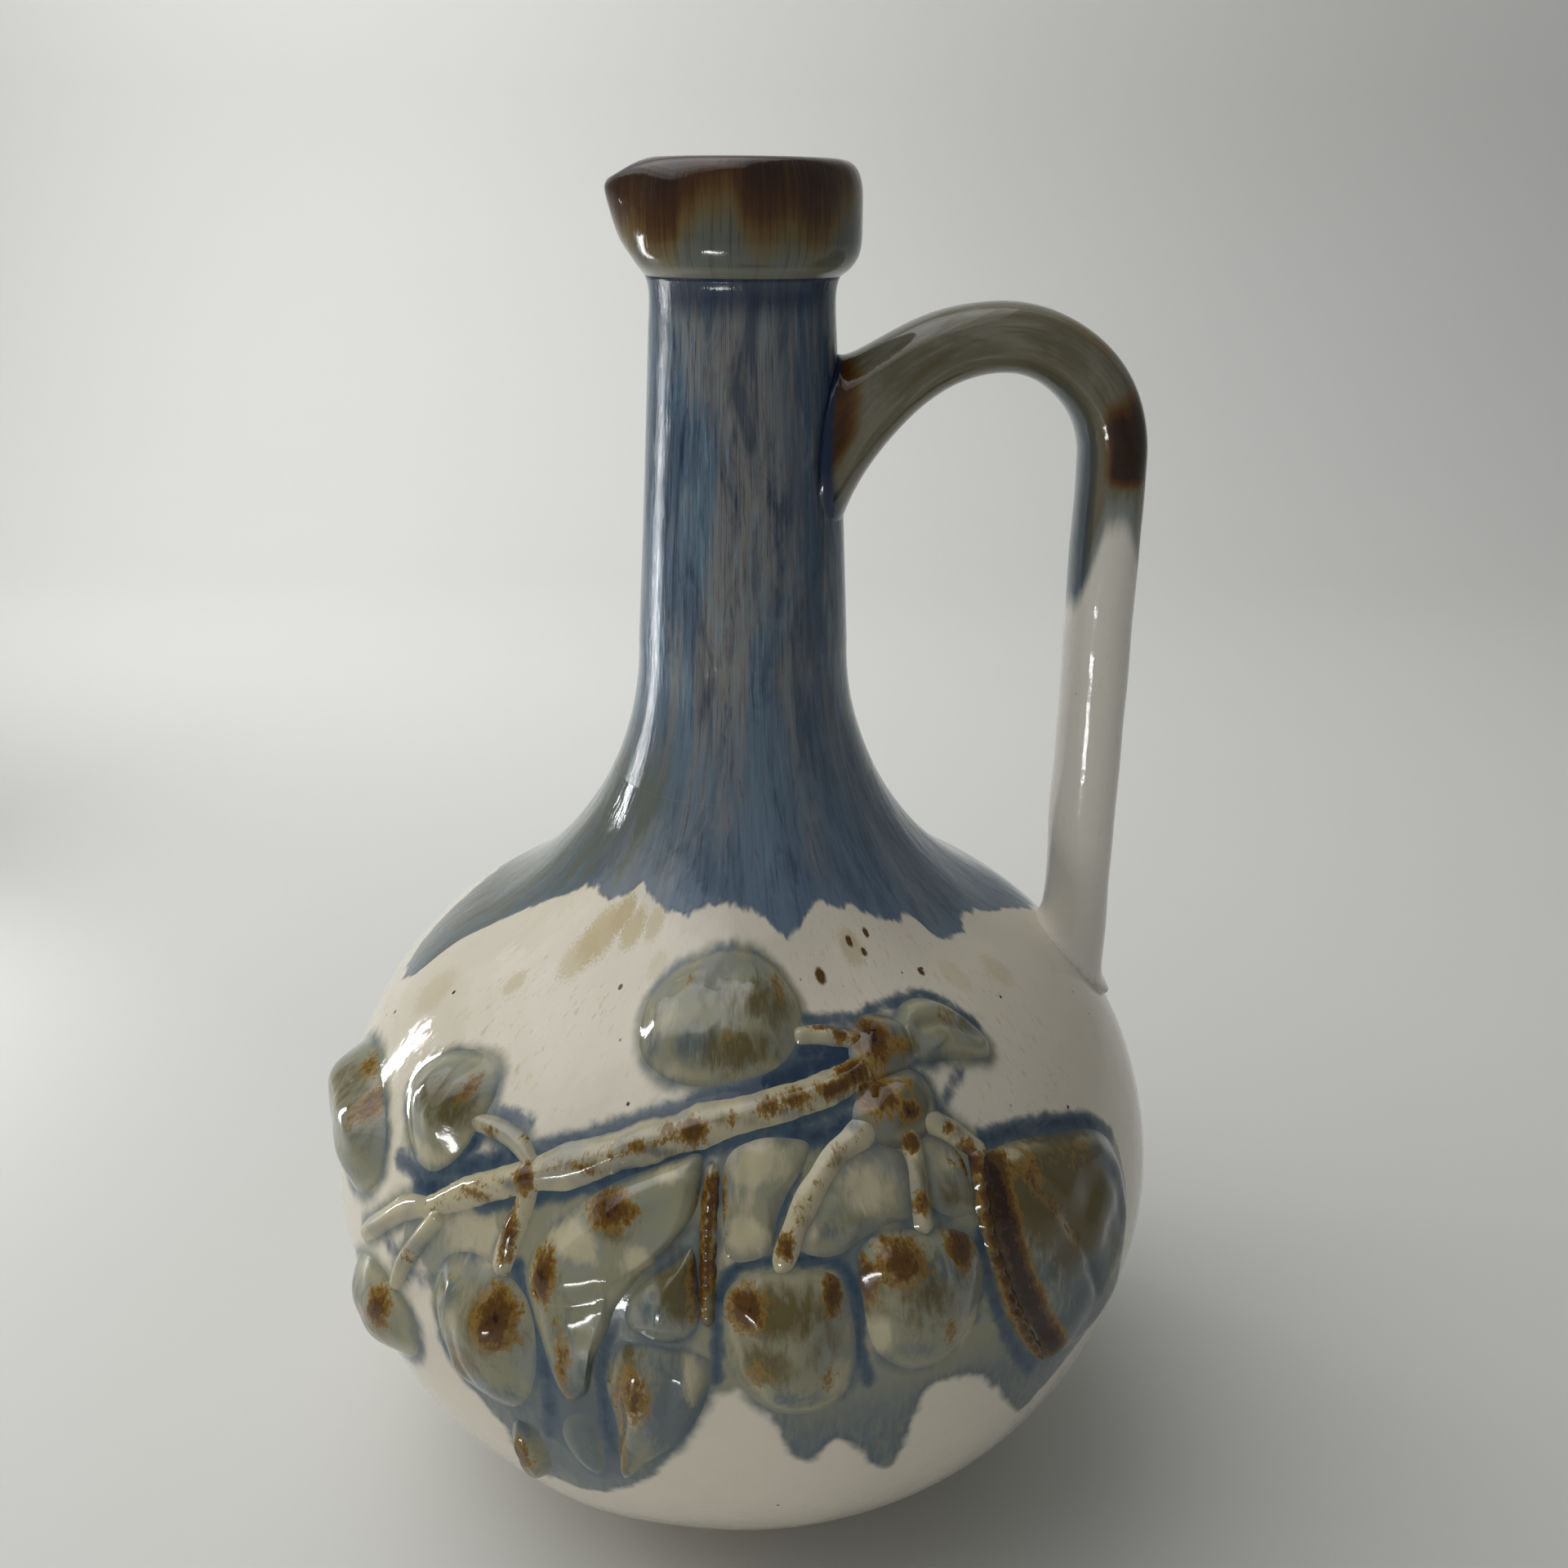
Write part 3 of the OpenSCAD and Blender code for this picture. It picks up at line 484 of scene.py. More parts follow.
# Where the glaze broke to rust: along, rise, half width, half height, strength
RUST = [
    (-24, 33, 4.2, 2.8, 1.0), (-34.6, 20.5, 2.2, 4.2, 1.0), (-8, 24, 1.5, 7, 0.9), (-7.5, 35, 1.4, 3, 0.6),
    (0.2, 19.2, 2.8, 3.2, 1.0), (14.6, 20.4, 1.6, 3.4, 0.9), (2, 9, 2, 3.4, 0.45), (13, 7, 2, 3, 0.35),
    (20.8, 21.5, 1.8, 3.6, 0.95), (26.5, 24, 4.2, 3.6, 0.85), (38.6, 23.2, 2.6, 3.2, 1.0),
    (34, 11, 1.5, 3, 0.5), (-42.6, 11, 3.2, 4.6, 1.0), (-50, 0.8, 2, 4, 0.4), (-41, -18, 2.2, 3.8, 0.85),
    (-18, 3.5, 2.8, 5, 0.65), (-30, 7, 1.5, 5, 0.6), (50.5, 33.5, 2.6, 3.0, 1.0), (57, 30, 1.8, 5, 0.6),
    (71, 28, 6, 3, 0.3), (-90, 30, 3, 4.4, 0.7), (-100, 33, 4, 2.6, 0.55), (-73, -1.5, 2.6, 3.4, 0.95),
    (-62, 44.5, 1.4, 3, 0.65), (-17, 72.5, 2, 2, 0.4), (10, 71, 2.6, 4.6, 0.5), (-4, 61.5, 3, 2, 0.35),
    (31.6, 59.6, 4.0, 4.4, 1.0), (38, 57, 3, 2, 0.5), (29, 50, 4, 3.4, 0.85), (36, 51, 2, 1.6, 0.5),
    (34.4, 46.4, 2.2, 1.8, 0.9), (-10.4, 46.4, 2.6, 2.2, 0.85), (-2.6, 48.6, 0.9, 1.8, 0.55),
    (5.0, 50.4, 2.6, 1.8, 0.62), (11.0, 51.5, 3.2, 1.8, 0.70), (16.6, 52.8, 2.4, 1.4, 0.50),
    (25, 54.6, 4, 2.2, 0.95), (-21, 43, 2.4, 1.4, 0.6), (-42.2, 34.4, 1.8, 2.2, 0.9),
    (-52, 29, 4, 1.0, 0.5), (-43.4, 25, 1.6, 5, 0.8), (33.5, 41.5, 1.6, 1.6, 0.9), (33, 32, 1.6, 2.0, 0.7),
    (7, 28.4, 1.6, 2.0, 0.8), (-4.8, 36, 1.4, 4, 0.8), (-4.7, 26, 1.4, 4, 0.9), (41, 37, 1.2, 2, 0.4),
    (45, 36, 1.6, 3, 1.0), (21, 63.6, 4, 0.9, 0.7), (24.6, 61.8, 1.8, 1.6, 0.8), (-53.6, 39, 2, 1.2, 0.5),
    (-46, 40.4, 1.6, 1.2, 0.4), (-66, 13, 1.2, 3, 0.4), (42.4, 42.2, 1.6, 1.4, 0.6),
    (19, 42.6, 2.2, 1.0, 0.4), (10, 33.6, 1.2, 2.4, 0.35), (-31, 38.2, 3.0, 0.9, 0.55),
    (-15.4, 46.4, 2.2, 1.2, 0.6), (54, 60, 3, 2, 0.4),
]
# Long rust-brown bands: the line, its half width and its strength
RUST_BANDS = [
    ([(49.4, 33), (48.8, 26), (49.4, 18), (51.8, 9.6), (55.8, 1), (60, -6)], 2.0, 1.3),
    ([(54, 32), (59, 24), (64, 15)], 1.0, 0.55),
    ([(46.6, 34), (45.6, 25.7), (46.2, 18.7), (48.4, 9.7), (52.2, 1.6), (56.8, -5.6)], 1.1, 0.85),
    ([(-6.4, 39), (-6.5, 29.5), (-6.4, 22)], 0.9, 0.75),
    ([(18, 52.0), (22, 52.9), (26.5, 54.2)], 1.2, 0.85),
    ([(-26, 40.6), (-16, 44.4), (-8, 46.4)], 0.8, 0.40),
    ([(-62, 23), (-54, 28.8), (-47, 32.6), (-36, 37.4), (-26, 41.8)], 1.8, 0.26),
    ([(26, 46.4), (19, 42.4), (12, 36), (8, 29)], 1.2, 0.26),
    ([(-22, 4), (-20.6, -4), (-20.4, -12)], 1.0, 0.45),
    ([(-31.6, 14), (-30.4, 6), (-29.6, 0)], 1.2, 0.40),
    ([(-54, 14), (-55.6, 6), (-54, -2)], 1.0, 0.35),
    ([(62, 31), (72, 28), (80, 24)], 2.2, 0.22),
]
# Where blue glaze pooled: lines along which it lies, their half width and strength
POOLS = [
    ([(-58, 31.4), (-47, 36.6), (-39, 40.2), (-31, 43.4), (-23, 46.8), (-14, 49.8), (-5, 52.4)],
        2.3, 0.85),
    ([(-5, 52.2), (5, 54.4), (16, 57), (27, 58.6)], 2.6, 1.1),
    ([(15, 59.5), (21, 59.6), (27, 59.2)], 2.2, 1.0),
    ([(-52, 26.8), (-39, 32.2), (-31, 35.4), (-23, 39), (-14, 41.8), (-5, 44.4), (5, 46.6), (14, 48.4),
        (23, 50.6)], 1.8, 0.8),
    ([(10, 46), (16, 45.4), (21, 47.5)], 2.6, 0.9),
    ([(-4.8, 6), (-4.7, 13), (-4.4, 20), (-1, 25.4), (8, 26.4), (16, 24.6), (19, 19.6), (19.2, 10),
        (21, 3)], 1.2, 0.85),
    ([(44.2, 24), (44.4, 15), (46.5, 7), (50, -0.6), (55, -8)], 1.5, 0.85),
    ([(-41, 19.6), (-37.4, 12.6), (-34.8, 5), (-34, -3), (-35, -12)], 1.6, 0.85),
    ([(-22.2, 14), (-24, 5.5), (-23.6, -3.5), (-22.8, -12)], 1.2, 0.8),
    ([(50, 38), (60, 37), (72, 33.6), (82, 29), (87, 24)], 1.8, 0.95),
    ([(17, 66), (24, 65.4), (32, 65), (38, 65.8), (46, 66), (54, 65.4), (60, 62), (63.6, 56)], 1.6, 0.7),
    ([(-56.6, 37), (-61, 30), (-68, 26.4), (-76, 26)], 1.9, 0.85),
    ([(-68, 24.6), (-60, 27)], 2.4, 1.0),
    ([(-56, 42.4), (-46, 43)], 1.8, 0.6),
    ([(-74, 10), (-66, 8), (-60, 10)], 2.4, 0.5),
    ([(42.6, 45), (48, 48.4), (52, 50)], 1.6, 0.6),
    ([(4.6, 28.8), (6.6, 34), (10, 40)], 1.3, 0.7),
    ([(31.4, 31), (31.8, 38)], 1.0, 0.6),
    ([(35.4, 30), (36, 38)], 1.0, 0.5),
]
# The glaze that covers the ground between the sprigs and runs down below them
RUN = [
    (-53.3, -8), (-47.8, -14.5), (-42.5, -19), (-40, -27), (-33, -30), (-25.7, -27), (-16.2, -18.4),
    (-11.3, -9.6), (-8.6, -0.4), (-5.3, 2), (-2.1, 3), (0.7, 2.6), (4.3, -3), (6.9, -10.1), (10, -13.7),
    (12.9, -12.6), (15.3, -9), (19, -12.8), (23.4, -19), (27.3, -19.8), (29.7, -10.4), (31.7, -3),
    (37.5, -2), (44.2, -6), (51.3, -15.4), (56.3, -21), (60.8, -18.6), (68, -14.4), (78, -11), (86, -5),
    (89, 6), (90, 20), (84, 30), (70, 35.6), (56.3, 38.8), (50, 42), (48.6, 46.6), (54, 50.6), (61, 50),
    (66, 55), (61.5, 62), (53, 65.6), (44.7, 67), (34, 66), (24, 66.6), (18, 66), (15, 59.6), (9, 57.2),
    (1.7, 56), (-7.3, 54.6), (-15.4, 53), (-21, 50), (-28, 47.6), (-38.9, 45.4), (-46.8, 43.6), (-54, 42.6),
    (-57.6, 34), (-63, 30.4), (-72, 28), (-80, 14), (-72, 8), (-64, 11), (-60.4, 6), (-59, -2),
]
# The lower edge of the blue glaze on the shoulder, round the belly
SHOULDER_EDGE = [
    (-265, 74), (-235, 68), (-205, 76), (-175, 66), (-150, 60), (-130, 46), (-115, 48), (-112, 61),
    (-106, 71), (-96, 79), (-85, 84), (-74, 87), (-63, 86), (-55, 88.5), (-48, 90.5), (-41, 88.5),
    (-34, 87), (-27, 86), (-18, 88), (-8, 89), (3, 88), (11, 85), (17, 82.5), (23, 84.6), (29, 88),
    (35, 88.4), (39, 87), (48, 86), (57, 83), (65, 80.5), (73, 80), (78, 74), (89, 71.5), (99, 74),
    (109, 71), (126, 64), (145, 55), (175, 64), (205, 70), (235, 66), (266, 74),
]
# Stains in the cream: along, rise, radius, how ragged, strength
STAINS = [
    (-74, 63.5, 3.6, 3.2, 0.5), (-57, 79, 8.0, 9.0, 0.8), (-60, 74, 7.0, 9.0, 0.6), (-52, 84, 5.0, 6.0, 0.9),
    (-45, 82, 5.5, 7.0, 0.75), (-37, 84, 4.5, 6.0, 0.6), (40, 78.5, 5.0, 5.0, 0.5), (-98, 52, 7.0, 7.0, 0.3),
    (70, 66, 5.0, 6.0, 0.25), (86, 62, 5.0, 6.0, 0.3), (-30, 76, 4.0, 5.0, 0.3),
]
# Single specks in the cream: along, rise, radius
BROWN_SPECKS = [
    (40.3, 79.7, 1.5), (48.3, 80.4, 1.35), (25.5, 74.3, 2.25), (44, 77, 1.2), (59.8, 69.7, 1.2),
]
BLACK_SPECKS = [
    (-39.6, 70.6, 0.85), (-25.7, 49.9, 0.5), (78.2, 58, 0.45), (76.3, 34.8, 0.45), (-91, 54.9, 0.6),
    (-108, 42, 0.6), (61, 70.2, 0.5),
]
# Leaves that are lower than the others, with their share of the height
LOW_LEAVES = {"leaf_cream": 0.46, "leaf_lower_left": 0.44, "leaf_under_fork": 0.5, "leaf_inner_right": 0.5}
# Height of the stems, as a share of the branch's
STEM_SHARE = 0.72
# Beads along the leaf ribs: their step in millimetres and their share of the rib's height
BEAD_STEP, RIB_BEADS = 3.7, 0.22


def twig_path(points):
    """Even steps along a twig's line, and the way gone at each."""
    path = spline(points, 10)
    gap = np.linalg.norm(np.diff(path, axis=0), axis=1)
    run = np.concatenate([[0], np.cumsum(gap)])
    want = np.linspace(0, run[-1], max(12, int(run[-1] / 0.7)))
    return np.stack([np.interp(want, run, path[:, i]) for i in (0, 1)], 1), want


def sides_of(path):
    """The heading at each step of a path, and the direction to its side."""
    way = np.gradient(path, axis=0)
    way /= np.linalg.norm(way, axis=1)[:, None]
    return way, np.stack([way[:, 1], -way[:, 0]], 1)


def swell(run, taper):
    """The share of its width that a twig has along its way."""
    share = (run - run[0]) / (run[-1] - run[0])
    return np.interp(share, [0, 0.35, 0.65, 1], [taper[0], 1, 1, taper[1]])


def twig_outline(points, width, taper):
    path, run = twig_path(points)
    way, side = sides_of(path)
    half = side * (width / 2 * swell(run, taper))[:, None]
    left, right = path - half, path + half
    tips = way[0] * width / 2 * taper[0], way[-1] * width / 2 * taper[1]
    return np.concatenate([[path[0] - tips[0]], left, [path[-1] + tips[1]], right[::-1]])


def pad_outline(points):
    return spline(points, 8, closed=True)


def outlines():
    """Outlines of all the sprigs on the sheet, by name."""
    out = {}
    for table in (FRUITS, KNOTS, LEAVES):
        out.update({name: pad_outline(points) for name, points in table.items()})
    for table in (TWIGS, RIBS):
        out.update({name: twig_outline(*spec) for name, spec in table.items()})
    return out


def distance(x, y, outline):
    """Distance from places to a closed outline, and whether they lie inside it."""
    best = np.full(x.shape, 1e9)
    inside = np.zeros(x.shape, bool)
    for (ax, ay), (bx, by) in zip(outline, np.roll(outline, -1, axis=0)):
        dx, dy = bx - ax, by - ay
        t = np.clip(((x - ax) * dx + (y - ay) * dy) / (dx * dx + dy * dy + 1e-12), 0, 1)
        best = np.minimum(best, (x - ax - t * dx) ** 2 + (y - ay - t * dy) ** 2)
        if ay != by:
            inside ^= ((ay > y) != (by > y)) & (x < dx * (y - ay) / dy + ax)
    return np.sqrt(best), inside


def within(x, y, lo, hi):
    return (x > lo[0]) & (x < hi[0]) & (y > lo[1]) & (y < hi[1])


def blots(x, y, table):
    """The strongest of a table's soft patches at places on the sheet."""
    total = np.zeros(x.shape)
    for bx, by, wide, high, strength in table:
        d = ((x - bx) / wide) ** 2 + ((y - by) / high) ** 2
        total = np.maximum(total, strength * np.exp(-BLOT_FADE * d))
    return total


def strokes(x, y, table, add=False):
    """The marks that lines leave on the sheet, of which the strongest counts or which add up."""
    total = np.zeros(x.shape)
    for points, half, strength in table:
        path = spline(points, 5)
        lo, hi = path.min(0) - 3 * half, path.max(0) + 3 * half
        m = within(x, y, lo, hi)
        if m.any():
            d = distance(x[m], y[m], np.concatenate([path, path[-2:0:-1]]))[0]
            mark = strength * np.exp(-BLOT_FADE * (d / half) ** 2)
            total[m] = total[m] + mark if add else np.maximum(total[m], mark)
    return total


def glaze_marks(x, y, edge, own=None):
    """Marks for the glaze on the sheet: how near the sprigs are, and where it broke, pooled and ran."""
    far, around = 60.0, 12
    near = np.zeros(x.shape)
    ground = np.full(x.shape, far)
    for name, outline in outlines().items():
        if name == own:
            continue
        lo, hi = outline.min(0) - around, outline.max(0) + around
        m = within(x, y, lo, hi)
        if m.any():
            d, inside = distance(x[m], y[m], outline)
            d = np.where(inside, 0.0, d)
            near[m] += np.exp(-d / CREASE)
            ground[m] = np.minimum(ground[m], d)
    fill = np.clip(near, 0, 1.5)
    if own is None:
        edge = -ground
        near = near - np.exp(-ground / CREASE)
    run = np.full(x.shape, -far)
    m = within(x, y, (-70, -50), (90, 35))
    if m.any():
        d, inside = distance(x[m], y[m], spline(RUN, 4, closed=True))
        run[m] = np.where(inside, d, -d)
    line = spline(SHOULDER_EDGE, 5)
    order = np.argsort(line[:, 0])
    shoulder = y - np.interp(x, line[order, 0], line[order, 1])
    rust = np.maximum(blots(x, y, RUST), strokes(x, y, RUST_BANDS))
    return {"fill": fill, "edge": edge, "crease": np.clip(near, 0, 1), "rust": rust,
            "pool": strokes(x, y, POOLS), "pale": blots(x, y, PALE), "moss": blots(x, y, MOSS),
            "blue": blots(x, y, BLUE), "run": run, "shoulder": shoulder}


def pad(name, outline, height, wide_dome, seed):
    """A pad of clay on the wall: a soft ridged dome in its outline, with a fillet of glaze round it."""
    wall = Wall()
    centre = outline.mean(0)
    ray = outline - centre
    reach = np.linalg.norm(ray, axis=1)
    width = min(0.92 * reach.min(), DOMED if wide_dome else FLAT)
    shares = 1 - np.linspace(0, 1, 25)[:-1] ** 1.3
    rings, edges = [], []
    for off in (PAD_FILLET, 1.35, 0.85, 0.4):
        rings.append(centre + ray * (1 + off / reach)[:, None])
        edges.append(np.full(len(ray), -off))
    for share in shares:
        rings.append(centre + ray * share)
        edges.append((1 - share) * reach)
    rings, edges = np.array(rings), np.array(edges)
    u = np.clip((edges + PAD_FILLET) / (width + PAD_FILLET), 0, 1)
    x, y = rings[..., 0], rings[..., 1]
    dome = (1 - (1 - u) ** 2.0) ** 1.55
    lumps = 1 + 0.13 * ripple(seed, x, y, 13) + 0.012 * ripple(seed + 50, x, y, 5)
    lift = height * dome * lumps - THIN_EDGE * (1 - u)
    lift = lift + strokes(x, y, RIDGES, add=True) * smooth(0.2, 0.7, u)
    top = lift[-1].mean()
    points = wall.points(x, y, lift)
    floor = wall.points(centre[0], centre[1], -ROOT)
    peak = wall.points(centre[0], centre[1], top)
    px = with_ends(x, centre[0], centre[0])
    py = with_ends(y, centre[1], centre[1])
    marks = glaze_marks(px, py, with_ends(edges, -PAD_FILLET, reach.min()), own=name)
    marks["sheet"] = sheet(px / wall.r, wall.r, py)
    return ring_mesh(name + "_glazed", points, floor, peak, marks)


def roll(name, points, width, taper, height, seed, beads=0.0):
    """A roll of clay on the wall, rounded at both ends, with a fillet of glaze along its sides."""
    wall = Wall()
    path, run = twig_path(points)
    way, _ = sides_of(path)
    cap = width / 2 + ROLL_FILLET
    steps = np.array([width / 4, width / 2, cap])
    head = path[0] - way[0] * steps[::-1, None]
    tail = path[-1] + way[-1] * steps[:, None]
    path = np.concatenate([head, path, tail])
    run = np.concatenate([-steps[::-1], run, run[-1] + steps])
    _, side = sides_of(path)
    uneven = 0.12 * ripple(seed, run, 0 * run, 11) + 0.05 * ripple(seed + 3, run, 0 * run, 4)
    full = width / 2 * swell(run, taper) * (1 + uneven)
    end = np.minimum(run - run[0], run[-1] - run)
    closing = np.sqrt(np.clip(1 - (1 - np.clip(end / cap, 0, 1)) ** 2, 0.004, 1))
    over, under = np.linspace(-1, 1, 19), [0.4, -0.4]
    half = (full + ROLL_FILLET) * closing
    offset = half[:, None] * np.concatenate([over, under])[None, :]
    inner = half[:, None] - np.abs(offset)
    u = np.clip(inner / (full + ROLL_FILLET)[:, None], 0, 1)
    bumps = 0.12 * ripple(seed + 9, run, 0 * run, 8) + beads * np.sin(2 * math.pi * run / BEAD_STEP)
    tall = height * closing * swell(run, taper) * (1 + bumps)
    lift = tall[:, None] * (1 - (1 - u) ** 2.0) ** 1.5 - THIN_EDGE * (1 - u) ** 2
    lift[:, len(over):] = -ROOT
    places = path[:, None, :] + side[:, None, :] * offset[..., None]
    x, y = places[..., 0], places[..., 1]
    rings = wall.points(x, y, lift)
    edge = np.minimum(inner - ROLL_FILLET * closing[:, None], (end - ROLL_FILLET)[:, None])
    ends = path[0], path[-1]
    px = with_ends(x, ends[0][0], ends[1][0])
    py = with_ends(y, ends[0][1], ends[1][1])
    marks = glaze_marks(px, py, with_ends(edge, -ROLL_FILLET, -ROLL_FILLET), own=name)
    marks["sheet"] = sheet(px / wall.r, wall.r, py)
    first, last = (wall.points(e[0], e[1], -TIP_ROOT) for e in ends)
    return ring_mesh(name + "_glazed", rings, first, last, marks)


# Materials

VALUE, COLOUR, VECTOR = "NodeSocketFloat", "NodeSocketColor", "NodeSocketVector"
SHEET = ("Sheet", VECTOR, None)


class Tree:
    """Short hand for building node trees."""

    def __init__(self, tree):
        self.tree = tree

    def add(self, kind, inputs=None, **settings):
        node = self.tree.nodes.new(kind)
        for key, value in settings.items():
            setattr(node, key, value)
        for key, value in (inputs or {}).items():
            self.feed(node.inputs[key], value)
        return node

    def feed(self, socket, value):
        if isinstance(value, bpy.types.NodeSocket):
            self.tree.links.new(value, socket)
        elif socket.type == "RGBA" and len(value) == 3:
            socket.default_value = (*value, 1.0)
        else:
            socket.default_value = value

    def math(self, operation, a, b=0.0):
        return self.add("ShaderNodeMath", {0: a, 1: b}, operation=operation).outputs[0]

    def times(self, value, *others):
        for other in others:
            value = self.math("MULTIPLY", value, other)
        return value

    def plus(self, value, *others):
        for other in others:
            value = self.math("ADD", value, other)
        return value

    def most(self, a, b):
        return self.math("MAXIMUM", a, b)

    def sway(self, noise, amount):
        """A noise of 0 to 1 as a sway about zero."""
        return self.times(self.math("SUBTRACT", noise, 0.5), amount)

    def mix(self, factor, a, b):
        node = self.add("ShaderNodeMix", data_type="RGBA", clamp_factor=True)
        self.feed(node.inputs[0], factor)
        self.feed(node.inputs[6], a)
        self.feed(node.inputs[7], b)
        return node.outputs[2]

    def ramp(self, value, lo, hi, to_lo=0.0, to_hi=1.0):
        bounds = {"From Min": lo, "From Max": hi, "To Min": to_lo, "To Max": to_hi}
        node = self.add("ShaderNodeMapRange", {"Value": value, **bounds}, interpolation_type="SMOOTHSTEP")
        return node.outputs[0]

    def coats(self, shade, *coats):
        """Lays colours over a shade, each where a value passes from one bound to the other."""
        for over, value, lo, hi, *strength in coats:
            shade = self.mix(self.ramp(value, lo, hi, *strength), shade, over)
        return shade

    def mark(self, name):
        return self.add("ShaderNodeAttribute", attribute_name=name).outputs["Fac"]

    def sheet(self, name):
        return self.add("ShaderNodeAttribute", attribute_name=name).outputs["Vector"]

    def split(self, vector):
        return self.add("ShaderNodeSeparateXYZ", {0: vector}).outputs

    def drawn(self, vector, share):
        """Places with a share of their height, so that a pattern is drawn out up and down."""
        shares = (1, 1, share)
        return self.add("ShaderNodeVectorMath", {0: vector, 1: shares}, operation="MULTIPLY").outputs[0]

    def noise(self, vector, scale, detail=3.0, rough=0.55, twist=0.0):
        return self.add("ShaderNodeTexNoise", {"Vector": vector, "Scale": scale, "Detail": detail,
                                               "Roughness": rough, "Distortion": twist}).outputs[0]

    def use(self, tree, **inputs):
        return self.add("ShaderNodeGroup", inputs, node_tree=tree).outputs


def group(name, ins, outs, fill):
    """A shader node group with named sockets, made once."""
    tree = bpy.data.node_groups.get(name)
    if tree:
        return tree
    tree = bpy.data.node_groups.new(name, "ShaderNodeTree")
    for label, kind, default in ins:
        item = tree.interface.new_socket(label, in_out="INPUT", socket_type=kind)
        if default is not None:
            item.default_value = default
    for label, kind in outs:
        tree.interface.new_socket(label, in_out="OUTPUT", socket_type=kind)
    t = Tree(tree)
    source, sink = t.add("NodeGroupInput"), t.add("NodeGroupOutput")
    for label, value in fill(t, source.outputs).items():
        t.feed(sink.inputs[label], value)
    return tree


def streaks_group():
    """Fibrous runs of glaze down the pot, in fine and broad strands."""
    def fill(t, i):
        fine = t.noise(t.drawn(i["Sheet"], 0.12), 0.80, 6.0, 0.66, 0.8)
        strand = t.noise(t.drawn(i["Sheet"], 0.20), 0.20, 5.0, 0.60, 1.0)
        broad = t.noise(t.drawn(i["Sheet"], 0.28), 0.060, 4.0, 0.55, 0.9)
        return {"Fine": fine, "Strand": strand, "Broad": broad}
    return group("Glaze streaks", [SHEET], [("Fine", VALUE), ("Strand", VALUE), ("Broad", VALUE)], fill)


def skin_group():
    """The skin of the glaze: its slight waves and orange peel, and gloss that varies a little."""
    def fill(t, i):
        wave = t.noise(i["Sheet"], 0.11, 2.0, 0.5)
        peel = t.noise(i["Sheet"], 0.9, 3.0, 0.5)
        gloss = t.ramp(t.noise(i["Sheet"], 0.35, 4.0, 0.6), 0.3, 0.75, 0.045, 0.12)
        return {"Height": t.plus(wave, t.times(peel, 0.10)), "Gloss": gloss}
    return group("Glaze skin", [SHEET], [("Height", VALUE), ("Gloss", VALUE)], fill)


def spot_group():
    """A round spot at a place on the sheet, with a ragged edge."""
    def fill(t, i):
        ends = {0: i["Sheet"], 1: i["Place"]}
        far = t.add("ShaderNodeVectorMath", ends, operation="DISTANCE").outputs["Value"]
        far = t.plus(far, t.sway(t.noise(i["Sheet"], 1.6, 3.0, 0.6), i["Ragged"]))
        return {"Mask": t.ramp(far, i["Radius"], t.times(i["Radius"], 0.55))}
    ins = [SHEET, ("Place", VECTOR, None), ("Radius", VALUE, 1.0), ("Ragged", VALUE, 0.5)]
    return group("Glaze spot", ins, [("Mask", VALUE)], fill)


def blue_group():
    """The streaked blue glaze of neck and shoulder, with painted shade deepening its right-hand side."""
    def fill(t, i):
        c = colours()
        s = t.use(streaks_group(), Sheet=i["Sheet"])
        patch = t.noise(t.drawn(i["Sheet"], 0.30), 0.09, 4.0, 0.62, 1.2)
        hair = t.noise(t.drawn(i["Sheet"], 0.035), 2.4, 3.0, 0.6, 0.2)
        base = t.coats(c.mauve, (c.denim, s["Broad"], 0.38, 0.55),
                       (c.navy, s["Strand"], 0.50, 0.72, 0.0, 0.65),
                       (c.haze, s["Strand"], 0.48, 0.30, 0.0, 0.45))
        cluster = t.times(t.ramp(s["Fine"], 0.48, 0.66), t.ramp(patch, 0.44, 0.62), 0.85)
        base = t.mix(cluster, base, c.pale_blue)
        base = t.coats(base, (c.navy, s["Fine"], 0.46, 0.30, 0.0, 0.65),
                       (c.navy, patch, 0.48, 0.32, 0.0, 0.70), (c.navy, hair, 0.50, 0.68, 0.0, 0.45),
                       (c.pale_blue, hair, 0.46, 0.30, 0.0, 0.35))
        part = t.split(i["Sheet"])
        # Painted shade: the right-hand side is darkened towards a deep blue, broken up by the strands
        right = t.times(t.ramp(part[0], 3.0, 19.0), t.ramp(s["Strand"], 0.36, 0.54, 0.35, 0.9), 0.75)
        base = t.mix(right, base, c.painted_shade_blue)
        low = t.times(t.ramp(part[2], 132.0, 108.0), t.ramp(s["Fine"], 0.40, 0.60, 0.25, 0.75))
        base = t.mix(low, base, c.denim)
        left = t.times(t.ramp(part[0], -11.0, -21.0), t.ramp(part[2], 128.0, 104.0),
                       t.ramp(s["Strand"], 0.34, 0.58, 0.4, 0.95))
        return {"Colour": t.mix(left, base, c.slate), "Fine": s["Fine"]}
    return group("Blue glaze", [SHEET], [("Colour", COLOUR), ("Fine", VALUE)], fill)


